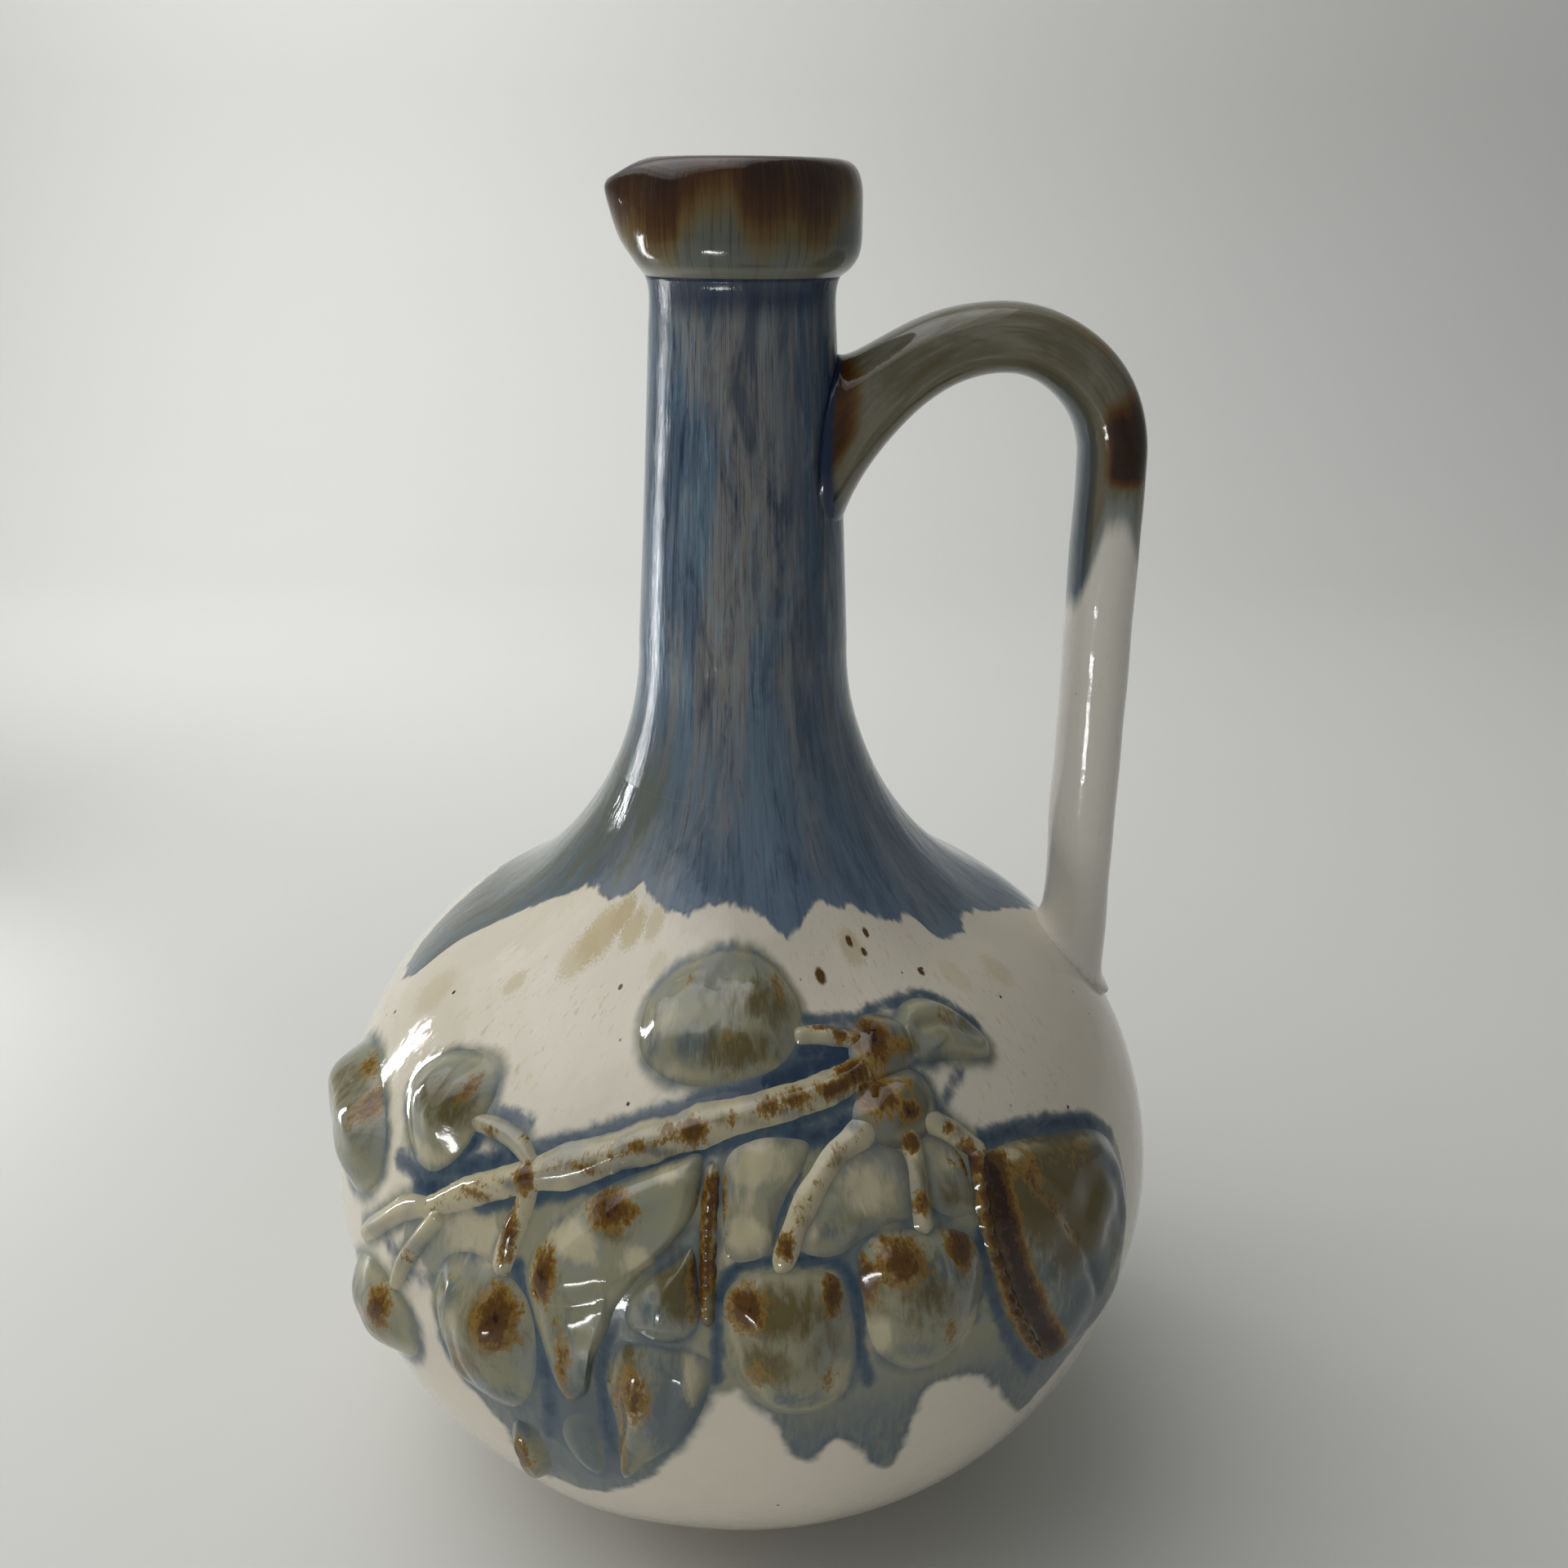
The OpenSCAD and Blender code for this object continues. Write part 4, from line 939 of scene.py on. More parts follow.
def cream_group():
    """Cream glaze: faint clouds, tan stains and small dark specks."""
    def fill(t, i):
        c = colours()
        base = t.coats(c.cream, (c.parchment, t.noise(i["Sheet"], 0.045, 4.0, 0.6), 0.35, 0.72, 0.0, 0.30))
        fleck = t.noise(t.drawn(i["Sheet"], 0.5), 0.75, 4.0, 0.65, 0.4)
        dirty = t.ramp(t.noise(i["Sheet"], 0.03, 2.0, 0.5), 0.42, 0.62, 0.06, 0.55)
        upper = t.ramp(t.split(i["Sheet"])[2], 5.0, 45.0, 0.25, 1.0)
        base = t.mix(t.times(t.ramp(fleck, 0.56, 0.70), dirty, upper), base, c.stain)
        cell = t.add("ShaderNodeTexVoronoi", {"Vector": i["Sheet"], "Scale": 0.16}, feature="F1").outputs
        pick = t.add("ShaderNodeSeparateColor", {"Color": cell["Color"]}).outputs[0]
        speck = t.times(t.ramp(cell["Distance"], 0.070, 0.030), t.ramp(pick, 0.72, 0.95, 0.0, 0.8))
        return {"Colour": t.mix(speck, base, c.rust)}
    return group("Cream glaze", [SHEET], [("Colour", COLOUR)], fill)


def broken_group():
    """Rust and amber where the glaze broke, mottled by fine fibres."""
    def fill(t, i):
        c = colours()
        fibre = t.noise(t.drawn(i["Sheet"], 0.7), 1.05, 5.0, 0.72, 0.3)
        level = t.plus(i["Amount"], t.sway(fibre, 1.5))
        shade = t.coats(c.amber, (c.rust, level, 0.34, 0.78), (c.umber, level, 0.85, 1.20))
        return {"Colour": t.mix(t.ramp(level, 0.24, 0.46), i["Ground"], shade)}
    return group("Broken glaze", [SHEET, ("Amount", VALUE, 0.0), ("Ground", COLOUR, None)],
                 [("Colour", COLOUR)], fill)


def bough_group():
    """Soft clouds of grey-green, olive, blue and cream in the glaze of the bough."""
    def fill(t, i):
        c = colours()
        cloud = t.noise(i["Sheet"], 0.10, 2.0, 0.45, 0.5)
        drift = t.noise(t.drawn(i["Sheet"], 0.6), 0.30, 3.0, 0.55, 0.8)
        fibre = t.noise(t.drawn(i["Sheet"], 0.22), 1.3, 4.0, 0.6, 0.5)
        sway = t.plus(t.sway(drift, 0.9), t.sway(fibre, 0.45))
        shade = t.coats(i["Ground"], (c.haze, cloud, 0.40, 0.66, 0.0, 0.6))
        for key, over, most in (("Moss", c.moss, 0.92), ("Blue", c.drip, 0.85), ("Pale", c.straw, 0.95)):
            shade = t.coats(shade, (over, t.plus(i[key], sway), 0.12, 0.60, 0.0, most))
        return {"Colour": shade, "Drift": drift, "Cloud": cloud}
    return group("Bough glaze", [SHEET, ("Ground", COLOUR, None), ("Moss", VALUE, 0.0), ("Blue", VALUE, 0.0),
                                 ("Pale", VALUE, 0.0)],
                 [("Colour", COLOUR), ("Drift", VALUE), ("Cloud", VALUE)], fill)


def glazed(name, paint):
    """A glossy glaze. The paint function returns its colour and extra height for the bump, or None."""
    material = bpy.data.materials.new(name)
    material.use_nodes = True
    t = Tree(material.node_tree)
    shader = material.node_tree.nodes["Principled BSDF"]
    where = t.sheet("sheet")
    shade, extra = paint(t, where)
    skin = t.use(skin_group(), Sheet=where)
    high = skin["Height"] if extra is None else t.plus(skin["Height"], extra)
    bump = t.add("ShaderNodeBump", {"Height": high, "Strength": 0.35, "Distance": 0.0006}).outputs[0]
    for key, value in (("Base Color", shade), ("Roughness", skin["Gloss"]), ("Normal", bump),
                       ("IOR", 1.5), ("Specular IOR Level", 0.5)):
        t.feed(shader.inputs[key], value)
    return material


def spot(t, where, along, rise, radius, ragged):
    """The mask of one spot on the belly."""
    r = sizes().belly_radius / MM
    centre = (r * math.sin(along / r), -r * math.cos(along / r), rise)
    return t.use(spot_group(), Sheet=where, Place=centre, Radius=radius, Ragged=ragged)[0]


def bough(t, where, ground):
    """The bough's glaze on a ground, with the patches marked on the mesh."""
    return t.use(bough_group(), Sheet=where, Ground=ground, Moss=t.mark("moss"), Blue=t.mark("blue"),
                 Pale=t.mark("pale"))


def ground_glaze():
    """The belly: cream, with blue on the shoulder, round the sprigs and in the run below them."""
    def paint(t, where):
        c = colours()
        cream = t.use(cream_group(), Sheet=where)[0]
        for along, rise, radius, ragged, amount in STAINS:
            cream = t.mix(t.times(spot(t, where, along, rise, radius, ragged), amount), cream, c.stain)
        for dot, ragged, specks in ((c.rust, 1.0, BROWN_SPECKS), (c.soot, 0.25, BLACK_SPECKS)):
            for speck in specks:
                cream = t.mix(spot(t, where, *speck, ragged), cream, dot)
        blue = t.use(blue_group(), Sheet=t.sheet("fan"))["Colour"]
        wander = t.noise(where, 0.20, 2.0, 0.5)
        fray = t.noise(t.drawn(where, 0.3), 0.9, 4.0, 0.6)
        over = t.plus(t.mark("shoulder"), t.plus(t.sway(wander, 5.0), t.sway(fray, 0.5)))
        rim = t.times(t.ramp(over, 5.0, 0.6), t.ramp(over, -0.4, 0.6), 0.45)
        shade = t.mix(rim, t.coats(cream, (blue, over, -0.9, 0.7)), c.denim)
        soft = t.noise(where, 0.25, 2.0, 0.5)
        near = t.plus(t.mark("edge"), t.sway(soft, 2.6))
        run = t.plus(t.mark("run"), t.sway(soft, 3.0))
        thin = t.most(t.ramp(near, -3.6, -0.4), t.ramp(run, -0.6, 1.4))
        rise = t.split(where)[2]
        glaze = bough(t, where, c.sage)
        low = t.times(t.ramp(rise, 8.0, -8.0), t.ramp(fray, 0.2, 0.7, 0.55, 0.95))
        brim = t.times(t.ramp(run, 3.4, 0.8), t.ramp(rise, 6.0, -2.0, 0.0, 0.6), t.ramp(fray, 0.35, 0.6))
        wash = t.mix(brim, t.mix(low, glaze["Colour"], c.drip), c.lagoon)
        shade = t.mix(t.times(thin, 0.96), shade, wash)
        thick = t.most(t.ramp(near, -2.6, -0.2), t.times(t.mark("crease"), 0.6))
        uneven = t.ramp(glaze["Cloud"], 0.36, 0.62, 0.10, 0.70)
        shade = t.mix(t.times(thick, uneven, thin), shade, c.lagoon)
        pool = t.plus(t.mark("pool"), t.sway(t.noise(where, 0.34, 3.0, 0.55, 0.4), 0.8))
        shade = t.coats(shade, (c.lagoon, pool, 0.15, 0.70, 0.0, 0.9), (c.navy, pool, 0.60, 1.15, 0.0, 0.85))
        return shade, t.times(t.ramp(over, -0.5, 0.7), 0.35)
    return glazed("Cream and blue glaze", paint)


def sprig_paint(ground, amount, border=1.0, faded=False):
    """Paint for sprigs: its ground, the amount of rust, the width of the border and whether that fades."""
    def paint(t, where):
        c = colours()
        glaze = bough(t, where, ground)
        edge = t.plus(t.mark("edge"), t.sway(glaze["Drift"], 2.4 * border))
        rim = t.times(t.ramp(edge, 0.1, 1.0), t.ramp(edge, 3.0, 1.2), t.ramp(t.mark("blue"), 0.6, 0.15),
                      t.ramp(glaze["Cloud"], 0.60, 0.40, 0.0, 0.32))
        shade = t.mix(rim, glaze["Colour"], c.straw)
        if faded:
            margin = t.plus(edge, t.sway(glaze["Drift"], 5.0))
            shade = t.coats(shade, (c.ash, margin, 3.4, 0.4, 0.0, 0.75))
        rust = t.times(t.mark("rust"), amount)
        shade = t.use(broken_group(), Sheet=where, Amount=rust, Ground=shade)["Colour"]
        crease = t.most(t.times(t.mark("crease"), 0.5), t.mark("pool"))
        uneven = t.most(crease, t.ramp(glaze["Cloud"], 0.36, 0.62, 0.10, 0.70))
        low = t.times(t.ramp(edge, 1.4 * border - 0.5, -1.1), uneven)
        return t.mix(low, shade, c.lagoon), t.times(glaze["Cloud"], 0.5)
    return paint


def neck_glaze():
    """The neck: streaked blue, darkest in a ring under the collar."""
    def paint(t, where):
        blue = t.use(blue_group(), Sheet=where)
        high = t.split(t.add("ShaderNodeTexCoord").outputs["Object"])[2]
        shade = t.coats(blue["Colour"], (colours().navy, high, 0.233, 0.2385, 0.0, 0.75))
        return shade, t.times(blue["Fine"], 0.25)
    return glazed("Streaked blue glaze", paint)


def collar_glaze():
    """The collar: grey-olive at its foot, then amber and brown, in lobes and fine hairs."""
    def paint(t, where):
        c = colours()
        part = t.split(where)
        side, high = part[0], part[2]
        lobes = t.noise(t.drawn(where, 0.05), 0.11, 3.0, 0.55, 0.3)
        hair = t.noise(t.drawn(where, 0.05), 1.5, 3.0, 0.6, 0.2)
        patch = t.ramp(t.math("ABSOLUTE", t.plus(side, 5.0)), 8.5, 1.5, 0.0, -6.2)
        right = t.ramp(side, 15.0, 23.0, 0.0, -7.0)
        level = t.plus(high, patch, right, t.sway(lobes, 16.0), t.sway(hair, 5.0))
        shade = t.coats(c.pewter, (c.bronze, level, 241.0, 247.0), (c.honey, level, 243.5, 249.5, 0.0, 0.85),
                        (c.chestnut, level, 246.5, 252.5), (c.umber, level, 251.0, 259.0),
                        (c.umber, hair, 0.50, 0.68, 0.0, 0.35), (c.honey, hair, 0.46, 0.32, 0.0, 0.25))
        line = t.times(t.ramp(high, 240.6, 241.4), t.ramp(high, 243.2, 242.2), 0.35)
        return t.mix(line, shade, c.bisque), t.times(hair, 0.15)
    return glazed("Brown collar glaze", paint)


def handle_glaze():
    """The handle: olive, brown at its joint, top and bend, then blue-grey, and cream down to its foot, with
    painted shade underneath.
    """
    def paint(t, where):
        c = colours()
        along, outer = t.mark("along"), t.mark("outer")
        # Partly painted light: the handle's cream is mixed towards a lighter ivory
        cream = t.mix(0.6, t.use(cream_group(), Sheet=where)[0], c.ivory_and_painted_light)
        cloud = t.noise(t.drawn(where, 0.30), 0.20, 4.0, 0.6, 0.5)
        fibre = t.noise(t.drawn(where, 0.08), 0.55, 5.0, 0.62, 0.4)
        glaze = t.coats(c.olive, (c.khaki, cloud, 0.36, 0.60, 0.15, 0.80),
                        (c.moss, fibre, 0.50, 0.68, 0.0, 0.55), (c.sage, fibre, 0.46, 0.30, 0.0, 0.65))
        # Painted shade: olive-brown darkening on the handle's underside and inner side, broken up by clouds
        under = t.times(t.ramp(outer, 0.1, -0.6, 0.0, 0.5), t.ramp(cloud, 0.35, 0.6))
        glaze = t.mix(under, glaze, c.moss)
        joint = t.times(t.ramp(along, 19.0, 6.0), t.ramp(outer, -0.50, 0.15, 0.05, 0.85), 0.95)
        bend = t.times(t.ramp(along, 61.0, 71.0), t.ramp(along, 84.0, 78.0),
                       t.ramp(outer, -0.75, -0.10, 0.0, 1.2))
        top = t.times(t.ramp(along, 44.0, 54.0), t.ramp(along, 66.0, 58.0),
                      t.ramp(outer, 0.2, 0.9, 0.05, 0.5))
        level = t.plus(t.most(joint, t.most(bend, top)), t.sway(cloud, 0.9), t.sway(fibre, 0.5))
        brown = t.coats(glaze, (c.caramel, level, 0.28, 0.62, 0.0, 0.85), (c.mahogany, level, 0.50, 0.88),
                        (c.umber, level, 0.80, 1.10, 0.0, 0.9))
        end = t.plus(along, t.sway(cloud, 6.0), t.ramp(outer, -0.95, -0.2, -18.0, -3.0),
                     t.ramp(outer, 0.25, 0.95, 0.0, -8.0))
        inner = t.ramp(outer, -0.55, -0.95, 0.0, 0.85)
        shade = t.coats(brown, (t.mix(inner, c.haze, c.lagoon), end, 77.0, 83.0))
        shade = t.mix(t.times(inner, t.ramp(along, 30.0, 70.0)), shade, c.lagoon)
        shade = t.coats(shade, (cream, end, 82.0, 88.0), (c.navy, t.mark("joint"), 0.50, 0.85))
        return shade, None
    return glazed("Olive and cream glaze", paint)


def plain(name, shade, rough):
    """A plain matt surface for the stage, faintly uneven."""
    material = bpy.data.materials.new(name)
    material.use_nodes = True
    t = Tree(material.node_tree)
    shader = material.node_tree.nodes["Principled BSDF"]
    where = t.add("ShaderNodeTexCoord").outputs["Object"]
    uneven = t.mix(t.noise(where, 6.0, 3.0), shade, [v * 0.97 for v in shade])
    for key, value in (("Base Color", uneven), ("Roughness", rough), ("Specular IOR Level", 0.25)):
        t.feed(shader.inputs[key], value)
    return material


# Operators

class CARAFE_OT_belly(bpy.types.Operator):
    """Add the hollow belly with its foot, floor and glazed wall"""
    bl_idname = "carafe.belly"
    bl_label = "Belly"

    def execute(self, context):
        w = Wall()
        span = math.pi * w.r
        left, right, low, step = -132, 98, -46, 0.95
        along = np.concatenate([np.linspace(-span, left, 48, endpoint=False), np.arange(left, right, step),
                                np.linspace(right, span, 60, endpoint=False)])
        rise = np.concatenate([np.linspace(w.foot_rise, low, 14, endpoint=False),
                               np.arange(low, w.joint_rise - 0.4, step), [w.joint_rise - 0.04, w.joint_rise]])
        r, z = w.profile(rise)
        foot_r = np.concatenate([[14, 28], w.foot_r - np.array([2, 1, 0.45, 0.12, 0, 0])])
        foot_z = np.array([0, 0, 0, 0, 0.12, 0.5, 1.0, w.foot_h * 0.6])
        in_r, in_z = w.inside(10)
        in_r = np.concatenate([[r[-1] - 0.04, (r[-1] + in_r[0]) / 2], in_r, in_r[-1] * np.array([0.75, 0.4])])
        in_z = np.concatenate([[w.joint, w.joint], in_z, [w.floor, w.floor]])
        rows_r, rows_z = np.concatenate([foot_r, r, in_r]), np.concatenate([foot_z, z, in_z])
        under, inside = w.foot_rise - 4, w.joint_rise + 40
        rows_rise = np.concatenate([np.full(len(foot_r), under), rise, np.full(len(in_r), inside)])
        angle = along / w.r
        uneven = 0.22 * ripple(4, along[None, :] + 0 * rise[:, None], rise[:, None], 46)
        fade = smooth(w.foot_rise, w.foot_rise + 12, rise) * smooth(w.joint_rise, w.joint_rise - 14, rise)
        ends = smooth(-span, -span + 60, along) * smooth(span, span - 60, along)
        lift = uneven * fade[:, None] * ends[None, :]
        points = spun(angle[None, :], rows_r[:, None], rows_z[:, None])
        x = np.broadcast_to(along, points.shape[:2])
        y = np.broadcast_to(rows_rise[:, None], points.shape[:2])
        fx, fy = with_ends(x, 0, 0), with_ends(y, under, inside)
        marks = glaze_marks(fx, fy, None)
        skin = slice(len(foot_r), len(foot_r) + len(rise))
        lift = lift + 0.34 * marks["fill"][:-2].reshape(points.shape[:2])[skin]
        points[skin] = w.points(along[None, :], rise[:, None], lift)
        marks["sheet"] = sheet(fx / w.r, w.r, fy)
        marks["fan"] = sheet(fx / w.r, FAN, fy)
        belly = ring_mesh("belly_glazed", points, (0, 0, 0), (0, 0, w.floor), marks)
        place(belly, ground_glaze(), "cream_glaze", "belly")
        return {"FINISHED"}


class CARAFE_OT_neck(bpy.types.Operator):
    """Add the flared neck with its throat and spigot"""
    bl_idname = "carafe.neck"
    bl_label = "Neck"

    def execute(self, context):
        s, w = sizes(), Wall()
        angle = np.linspace(-math.pi, math.pi, 200, endpoint=False)
        flare_rise = w.turn_rise + w.flare * w.turn
        rise = np.concatenate([[w.joint_rise, w.joint_rise + 0.04],
                               np.linspace(w.joint_rise, flare_rise, 40)[1:]])
        r, z = w.profile(rise)
        up_z = np.linspace(w.flare_z, w.collar_z, 90)[1:]
        fillet = 1.15 * np.exp((up_z - w.collar_z) / 1.9)
        out_r = np.concatenate([r, w.neck_r(up_z) + fillet])
        out_z = np.concatenate([z, up_z])
        spigot_r, spigot_z = s.spigot_radius / MM, w.collar_z + s.spigot_height / MM
        turn = np.linspace(0, math.asin((w.throat_z - w.joint) / w.in_flare), 24)
        bore_r = np.concatenate([[w.throat] * 12, w.throat + w.in_flare * (1 - np.cos(turn))])
        bore_z = np.concatenate([np.linspace(spigot_z, w.throat_z, 12, endpoint=False),
                                 w.throat_z - w.in_flare * np.sin(turn)])
        rows_r = np.concatenate([out_r, [spigot_r, spigot_r], bore_r, [r[0] - 0.04]])
        rows_z = np.concatenate([out_z, [w.collar_z, spigot_z], bore_z, [w.joint]])
        a, z = angle[None, :], rows_z[:, None]
        sway = 0.13 * np.sin(2 * a + z / 21) + 0.09 * np.sin(3 * a - z / 13)
        ends = smooth(w.joint, w.joint + 14, rows_z) * smooth(w.collar_z, w.collar_z - 10, rows_z)
        ends[len(out_r):] = 0
        points = spun(angle[None, :], rows_r[:, None] + sway * ends[:, None], rows_z[:, None])
        rises = flare_rise + rows_z - w.flare_z
        rises[:len(rise)] = rise
        rises = np.broadcast_to(rises[:, None], points.shape[:2])
        marks = {"sheet": sheet(angle[None, :], FAN, rises).reshape(-1, 3)}
        neck = ring_mesh("neck_glazed", points, marks=marks)
        place(neck, neck_glaze(), "blue_glaze", "neck")
        return {"FINISHED"}


class CARAFE_OT_collar(bpy.types.Operator):
    """Add the collar with its pouring beak"""
    bl_idname = "carafe.collar"
    bl_label = "Collar"

    # Sections of the ring and of the beak in millimetres, from the inner foot out, up and back inside
    RING = [(14.1, 0.05), (16.8, -0.2), (17.9, 0.35), (19.2, 1.4), (20.3, 3.0), (20.8, 4.6), (21.0, 6.5),
            (21.0, 10), (20.95, 13.5), (20.6, 15.8), (19.8, 17.6), (18.6, 18.6), (17.0, 19.0), (14.8, 18.9),
            (13.2, 18.2), (12.3, 17), (12.0, 15), (12.0, 10), (12.0, 5.1), (14.1, 5.1)]
    BEAK = [(14.1, 0.05), (16.8, -0.2), (17.6, 0.45), (18.5, 1.9), (19.6, 3.4), (20.9, 4.9), (21.9, 6.8),
            (23.0, 10.2), (23.9, 13.9), (23.5, 15.6), (22.7, 16.6), (21.2, 17.5), (19.0, 18.3), (16.2, 18.5),
            (14.0, 18.0), (12.6, 17), (12.0, 15), (12.0, 10), (12.0, 5.1), (14.1, 5.1)]
    # How much of the pouring channel's depth each point of the section takes
    CHANNEL = [0, 0, 0, 0, 0, 0, 0, 0, 0, 0.08, 0.25, 0.55, 0.9, 1.0, 1.0, 1.0, 0.6, 0.2, 0, 0]
    # The beak's straight sides leave its tip, so far back and so far out, and end on the ring
    TIP, BACK, OUT, RING_REACH, BEAK_OVER = 26.3, 10.2, 13.5, 21.0, 3.0
    TIP_ROUND, BEAK_END, BEAK_FULL, CHANNEL_HALF = map(math.radians, (8, 43, 38, 15))
    CHANNEL_DEPTH = 2.6

    def execute(self, context):
        w = Wall()
        ring, beak, channel = np.array(self.RING), np.array(self.BEAK), np.array(self.CHANNEL)
        angle = np.linspace(-math.pi, math.pi, 216, endpoint=False)
        off = np.abs((angle + math.pi / 2 + math.pi) % (2 * math.pi) - math.pi)
        columns = []
        for a, o in zip(angle, off):
            o_round = math.hypot(o, self.TIP_ROUND)
            reach = self.OUT * self.TIP / (self.OUT * math.cos(o_round) + self.BACK * math.sin(o_round))
            blend = (reach - self.RING_REACH) / self.BEAK_OVER * smooth(self.BEAK_END, self.BEAK_FULL, o)
            cut = math.exp(-(o / self.CHANNEL_HALF) ** 2)
            profile = ring * (1 - blend) + beak * blend
            profile[:, 1] -= self.CHANNEL_DEPTH * cut * channel
            profile[13:17, 0] += np.array([1.2, 2.0, 2.2, 1.0]) * cut
            curve = spline(profile, 4, closed=True)
            columns.append(spun(a, curve[:, 0], w.collar_z + curve[:, 1]))
        points = np.stack(columns, 1)
        marks = {"sheet": sheet(angle[None, :], COLLAR_SHEET, points[..., 2]).reshape(-1, 3)}
        collar = ring_mesh("collar_glazed", points, marks=marks)
        place(collar, collar_glaze(), "brown_glaze", "collar")
        return {"FINISHED"}


class CARAFE_OT_handle(bpy.types.Operator):
    """Add the looped handle"""
    bl_idname = "carafe.handle"
    bl_label = "Handle"

    def execute(self, context):
        s, w = sizes(), Wall()
        thick, width = s.handle_thickness / MM, s.handle_width / MM
        bend = s.handle_bend / MM
        top = w.top - s.handle_drop / MM
        shaft_x = s.handle_reach / MM - thick / 2
        bend_x, bend_z = shaft_x - bend, top - thick / 2 - bend
        top_fall, under_fall = s.handle_top_fall / MM, s.handle_under_fall / MM
        join_z = top - (top_fall + thick + under_fall) / 2
        join_x = w.neck_r(join_z)
        sides = 56
        around = np.linspace(0, 2 * math.pi, sides, endpoint=False)
        up = np.sign(np.cos(around)) * np.abs(np.cos(around)) ** 0.9
        side = -np.sign(np.sin(around)) * np.abs(np.sin(around)) ** 0.9
        rings, centres = [], []
        for u in np.linspace(1.16, 0.0, 44):
            hi, lo = top - top_fall * u * u, top - thick - under_fall * u * u
            x = bend_x - u * (bend_x - join_x)
            rings.append(np.stack([np.full(sides, x), side * width / 2 * (1 + 0.2 * u * u),
                                   (hi + lo) / 2 + up * (hi - lo) / 2], 1))
            centres.append((x, 0, (hi + lo) / 2))
        for a in np.linspace(90, 0, 30)[1:]:
            a = math.radians(a)
            reach = bend + up * thick / 2
            rings.append(np.stack([bend_x + reach * math.cos(a), side * width / 2,
                                   bend_z + reach * math.sin(a)], 1))
            centres.append((bend_x + bend * math.cos(a), 0, bend_z + bend * math.sin(a)))
        foot_z = float(w.shoulder_z(np.array(shaft_x + thick / 2))) - 3
        for z in np.linspace(bend_z, foot_z, 96)[1:]:
            rings.append(np.stack([shaft_x + up * thick / 2, side * width / 2, np.full(sides, z)], 1))
            centres.append((shaft_x, 0, z))
        rings, centres = np.array(rings), np.array(centres)
        away = rings - centres[:, None, :]
        away /= np.linalg.norm(away, axis=2)[..., None]
        r = np.hypot(rings[..., 0], rings[..., 1])
        from_neck = np.where(rings[..., 2] > bend_z - 25, r - w.neck_r(rings[..., 2]), 99.0)
        from_belly = rings[..., 2] - w.shoulder_z(np.clip(r, 30, w.r - 0.5))
        gap = np.minimum(np.abs(from_neck), np.abs(from_belly))
        rings = rings + away * (2.2 * np.exp(-gap / 2.0))[..., None]
        run = np.concatenate([[0], np.cumsum(np.linalg.norm(np.diff(centres, axis=0), axis=1))])
        wave = 0.16 * ripple(12, run[:, None], 9 * np.cos(around)[None, :], 24)
        rings = rings + away * wave[..., None]
        along = np.broadcast_to(run[:, None], rings.shape[:2])
        first, last = centres[0] - (1.0, 0, 0), centres[-1] - (0, 0, 1.0)
        marks = {"joint": with_ends(np.exp(-np.abs(from_neck) / 2.4), 1, 0),
                 "along": with_ends(along, 0, run[-1]),
                 "outer": with_ends(np.broadcast_to(up, along.shape), 0, 0),
                 "sheet": with_ends(sheet(around[None, :], HANDLE_SHEET, along), (0, 0, 0), (0, 0, run[-1]))}
        handle = ring_mesh("handle_glazed", rings, first, last, marks)
        place(handle, handle_glaze(), "handle_glaze", "handle")
        return {"FINISHED"}


class CARAFE_OT_fruits(bpy.types.Operator):
    """Add the fruits of the bough"""
    bl_idname = "carafe.fruits"
    bl_label = "Fruits"

    def execute(self, context):
        glaze = glazed("Grey-green fruit glaze", sprig_paint(colours().sage, 1.0))
        for i, (name, points) in enumerate(FRUITS.items()):
            piece = pad(name, pad_outline(points), sizes().fruit_height / MM, True, FRUIT_SEED + i)
            place(piece, glaze, "fruit_glaze", name)
        return {"FINISHED"}


class CARAFE_OT_leaves(bpy.types.Operator):
    """Add the leaves of the bough"""
    bl_idname = "carafe.leaves"
    bl_label = "Leaves"

    def execute(self, context):
        glaze = glazed("Grey-olive leaf glaze", sprig_paint(colours().sage, 1.0))
        thin = glazed("Thin leaf glaze", sprig_paint(colours().sage, 1.0, 0.25, True))
        for i, (name, points) in enumerate(LEAVES.items()):
            low = name in LOW_LEAVES
            height = sizes().leaf_height / MM * LOW_LEAVES.get(name, 1.0)
            piece = pad(name, pad_outline(points), height, low, LEAF_SEED + i)
            place(piece, thin if low else glaze, "leaf_glaze", name)
        return {"FINISHED"}


class CARAFE_OT_twigs(bpy.types.Operator):
    """Add the branch, its knots and the stems"""
    bl_idname = "carafe.twigs"
    bl_label = "Branch, knots and stems"

    def execute(self, context):
        glaze = glazed("Cream twig glaze", sprig_paint(colours().straw, 1.05, 0.35))
        brown = glazed("Rust knot glaze", sprig_paint(colours().olive, 1.1, 0.7))
        for i, (name, (path, width, taper)) in enumerate(TWIGS.items()):
            share = 1.0 if name == "branch" else STEM_SHARE
            piece = roll(name, path, width, taper, sizes().twig_height / MM * share, TWIG_SEED + i)
            place(piece, glaze, "twig_glaze", name)
        for i, (name, points) in enumerate(KNOTS.items()):
            piece = pad(name, pad_outline(points), sizes().knot_height / MM, True, KNOT_SEED + i)
            place(piece, brown, "twig_glaze", name)
        return {"FINISHED"}


class CARAFE_OT_ribs(bpy.types.Operator):
    """Add the raised ribs of the leaves"""
    bl_idname = "carafe.ribs"
    bl_label = "Leaf ribs"

    def execute(self, context):
        glaze = glazed("Rust rib glaze", sprig_paint(colours().moss, 1.1, 0.3))
        for i, (name, (path, width, taper)) in enumerate(RIBS.items()):
            piece = roll(name, path, width, taper, sizes().rib_height / MM, RIB_SEED + i, RIB_BEADS)
            place(piece, glaze, "rib_glaze", name)
        return {"FINISHED"}


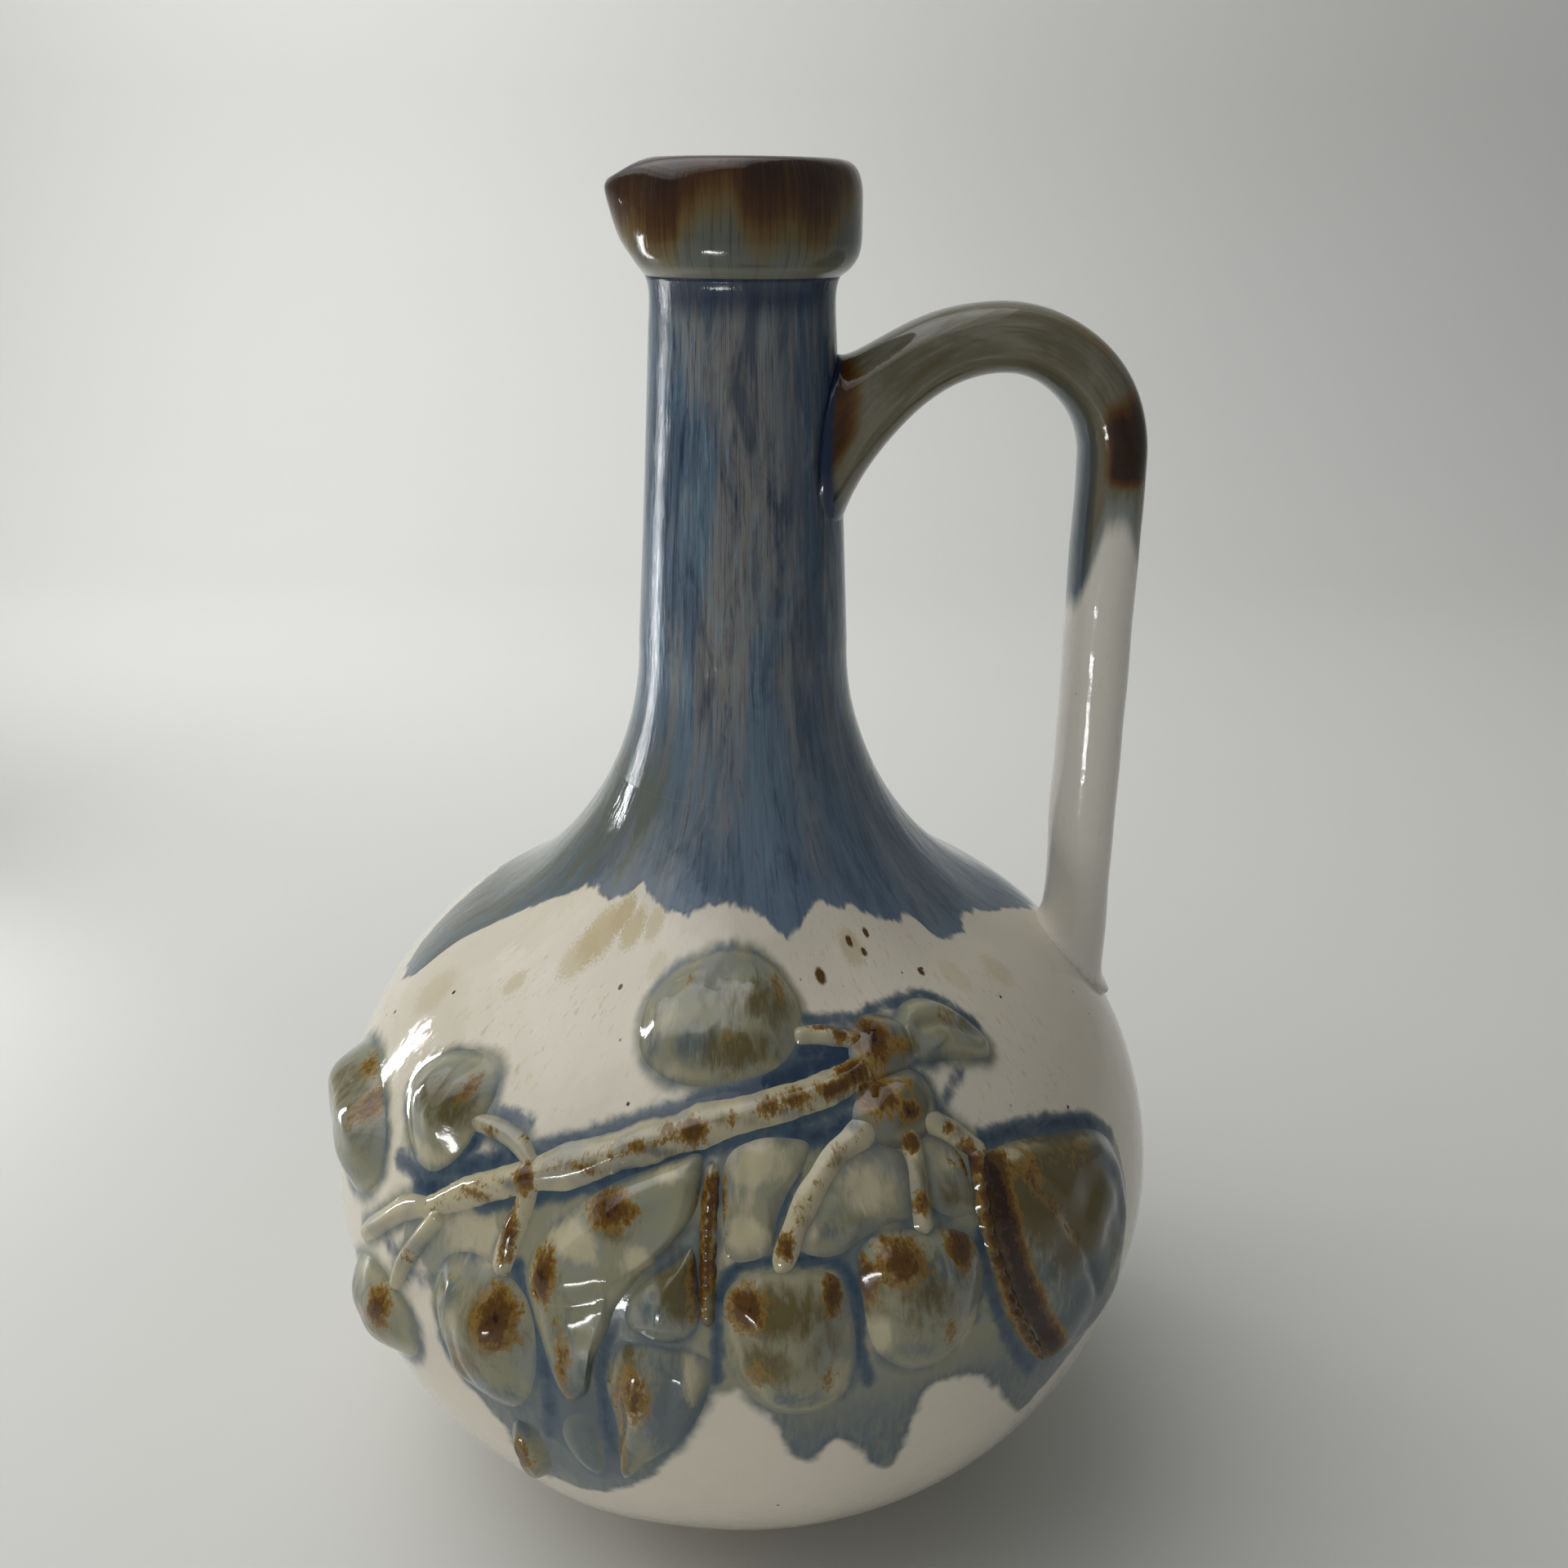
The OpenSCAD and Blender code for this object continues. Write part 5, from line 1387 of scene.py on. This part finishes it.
class CARAFE_OT_stage(bpy.types.Operator):
    """Add the floor, the backdrop, the lights and the camera"""
    bl_idname = "carafe.stage"
    bl_label = "Stage"

    # Half width of the floor, where its sweep starts, the sweep's radius and the backdrop's height
    HALF, SWEEP_FROM, SWEEP, TALL = 3.0, 0.8, 0.35, 3.0
    ROOM, ROOM_STRENGTH = (0.92, 0.96, 1.0, 1.0), 0.215
    WHITE, COOL = (1.0, 1.0, 1.0), (0.97, 0.98, 1.0)
    # Lamps: place, aim, width, height, watts and tint
    LAMPS = {
        "window": ((-0.408, 0.157, 0.115), (0, 0, 0.12), 0.028, 0.22, 0.50, (0.97, 0.985, 1.0)),
        "overhead_wide": ((-0.68, 0.16, 1.42), (0, 0, 0.1), 2.3, 2.2, 11.3, WHITE),
        "overhead": ((-0.68, 0.16, 1.40), (0, 0, 0.1), 1.7, 1.6, 6.1, WHITE),
        "overhead_small": ((-0.68, 0.16, 1.38), (0, 0, 0.1), 1.1, 1.0, 2.4, WHITE),
        "front": ((-0.21, -0.38, 0.022), (0, 0, 0.09), 0.12, 0.03, 0.26, WHITE),
        "backdrop": ((-0.45, 0.45, 0.55), (0.13, 1.15, 0.50), 0.5, 0.5, 3.5, COOL),
    }
    # The camera: sensor and lens in millimetres, its place, and its angles in degrees
    SENSOR, LENS, EYE = 36.0, 34.6875, (0.0, -0.2817, 0.2511)
    YAW, PITCH, TURN = 1.63, 20.66, 0.44

    def execute(self, context):
        scene = context.scene
        scene.view_settings.view_transform = "Standard"
        bend = np.linspace(0, math.pi / 2, 12)
        back = self.SWEEP_FROM + self.SWEEP
        sweep_y = self.SWEEP_FROM + self.SWEEP * np.sin(bend)
        sweep_z = self.SWEEP - self.SWEEP * np.cos(bend)
        y = np.concatenate([[-self.HALF, -1.0, 0.3, 0.7], sweep_y, [back, back]])
        z = np.concatenate([[0, 0, 0, 0], sweep_z, [0.9, self.TALL]])
        verts = [(x, a, b) for a, b in zip(y, z) for x in (-self.HALF, self.HALF)]
        faces = [(2 * i, 2 * i + 1, 2 * i + 3, 2 * i + 2) for i in range(len(y) - 1)]
        mesh = bpy.data.meshes.new("floor")
        mesh.from_pydata(verts, [], faces)
        mesh.shade_smooth()
        floor = bpy.data.objects.new("floor", mesh)
        scene.collection.objects.link(floor)
        floor.data.materials.append(plain("Pale floor", colours().paper, 0.6))
        world = bpy.data.worlds.new("Room")
        world.use_nodes = True
        world.node_tree.nodes["Background"].inputs[0].default_value = self.ROOM
        world.node_tree.nodes["Background"].inputs[1].default_value = self.ROOM_STRENGTH
        scene.world = world
        for name, (spot_at, aim, wide, tall, power, tint) in self.LAMPS.items():
            lamp = bpy.data.lights.new(name, "AREA")
            lamp.shape, lamp.size, lamp.size_y = "RECTANGLE", wide, tall
            lamp.energy, lamp.color = power, tint
            holder = bpy.data.objects.new(name, lamp)
            holder.matrix_world = looking(spot_at, np.array(aim) - np.array(spot_at))
            holder.visible_camera = False
            scene.collection.objects.link(holder)
        eye = bpy.data.cameras.new("view")
        eye.sensor_width, eye.lens = self.SENSOR, self.LENS
        eye.clip_start = 0.01
        camera = bpy.data.objects.new("view", eye)
        yaw, pitch, turn = map(math.radians, (self.YAW, self.PITCH, self.TURN))
        way = (math.sin(yaw) * math.cos(pitch), math.cos(yaw) * math.cos(pitch), -math.sin(pitch))
        camera.matrix_world = looking(self.EYE, way, turn)
        scene.collection.objects.link(camera)
        scene.camera = camera
        return {"FINISHED"}


def looking(spot, way, turn=0.0):
    """A matrix at a spot that looks along a direction, with +Z up and a turn about the line of sight."""
    way = np.array(way, float) / np.linalg.norm(way)
    right = np.cross(way, (0, 0, 1))
    right /= np.linalg.norm(right)
    up = np.cross(right, way)
    across = right * math.cos(turn) + up * math.sin(turn)
    over = -right * math.sin(turn) + up * math.cos(turn)
    m = Matrix.Identity(4)
    for row in range(3):
        m[row][0], m[row][1], m[row][2], m[row][3] = across[row], over[row], -way[row], spot[row]
    return m


class CARAFE_PT_panel(bpy.types.Panel):
    """Buttons for each group of pieces, and the sizes and colours they use"""
    bl_idname = "CARAFE_PT_panel"
    bl_label = "Carafe"
    bl_space_type = "VIEW_3D"
    bl_region_type = "UI"
    bl_category = "Carafe"

    def draw(self, context):
        column = self.layout.column()
        for operator in OPERATORS:
            column.operator(operator.bl_idname)
        for settings in (context.scene.carafe_sizes, context.scene.carafe_colours):
            for key in settings.__annotations__:
                column.prop(settings, key)


OPERATORS = (CARAFE_OT_belly, CARAFE_OT_neck, CARAFE_OT_collar, CARAFE_OT_handle, CARAFE_OT_fruits,
             CARAFE_OT_leaves, CARAFE_OT_twigs, CARAFE_OT_ribs, CARAFE_OT_stage)
CLASSES = (CarafeSizes, CarafeColours, *OPERATORS, CARAFE_PT_panel)


def register():
    for cls in CLASSES:
        bpy.utils.register_class(cls)
    bpy.types.Scene.carafe_sizes = bpy.props.PointerProperty(type=CarafeSizes)
    bpy.types.Scene.carafe_colours = bpy.props.PointerProperty(type=CarafeColours)


def unregister():
    del bpy.types.Scene.carafe_sizes
    del bpy.types.Scene.carafe_colours
    for cls in reversed(CLASSES):
        bpy.utils.unregister_class(cls)


def main():
    register()
    bpy.ops.carafe.belly()
    bpy.ops.carafe.neck()
    bpy.ops.carafe.collar()
    bpy.ops.carafe.handle()
    bpy.ops.carafe.fruits()
    bpy.ops.carafe.leaves()
    bpy.ops.carafe.twigs()
    bpy.ops.carafe.ribs()
    bpy.ops.carafe.stage()


if __name__ == "__main__":
    main()
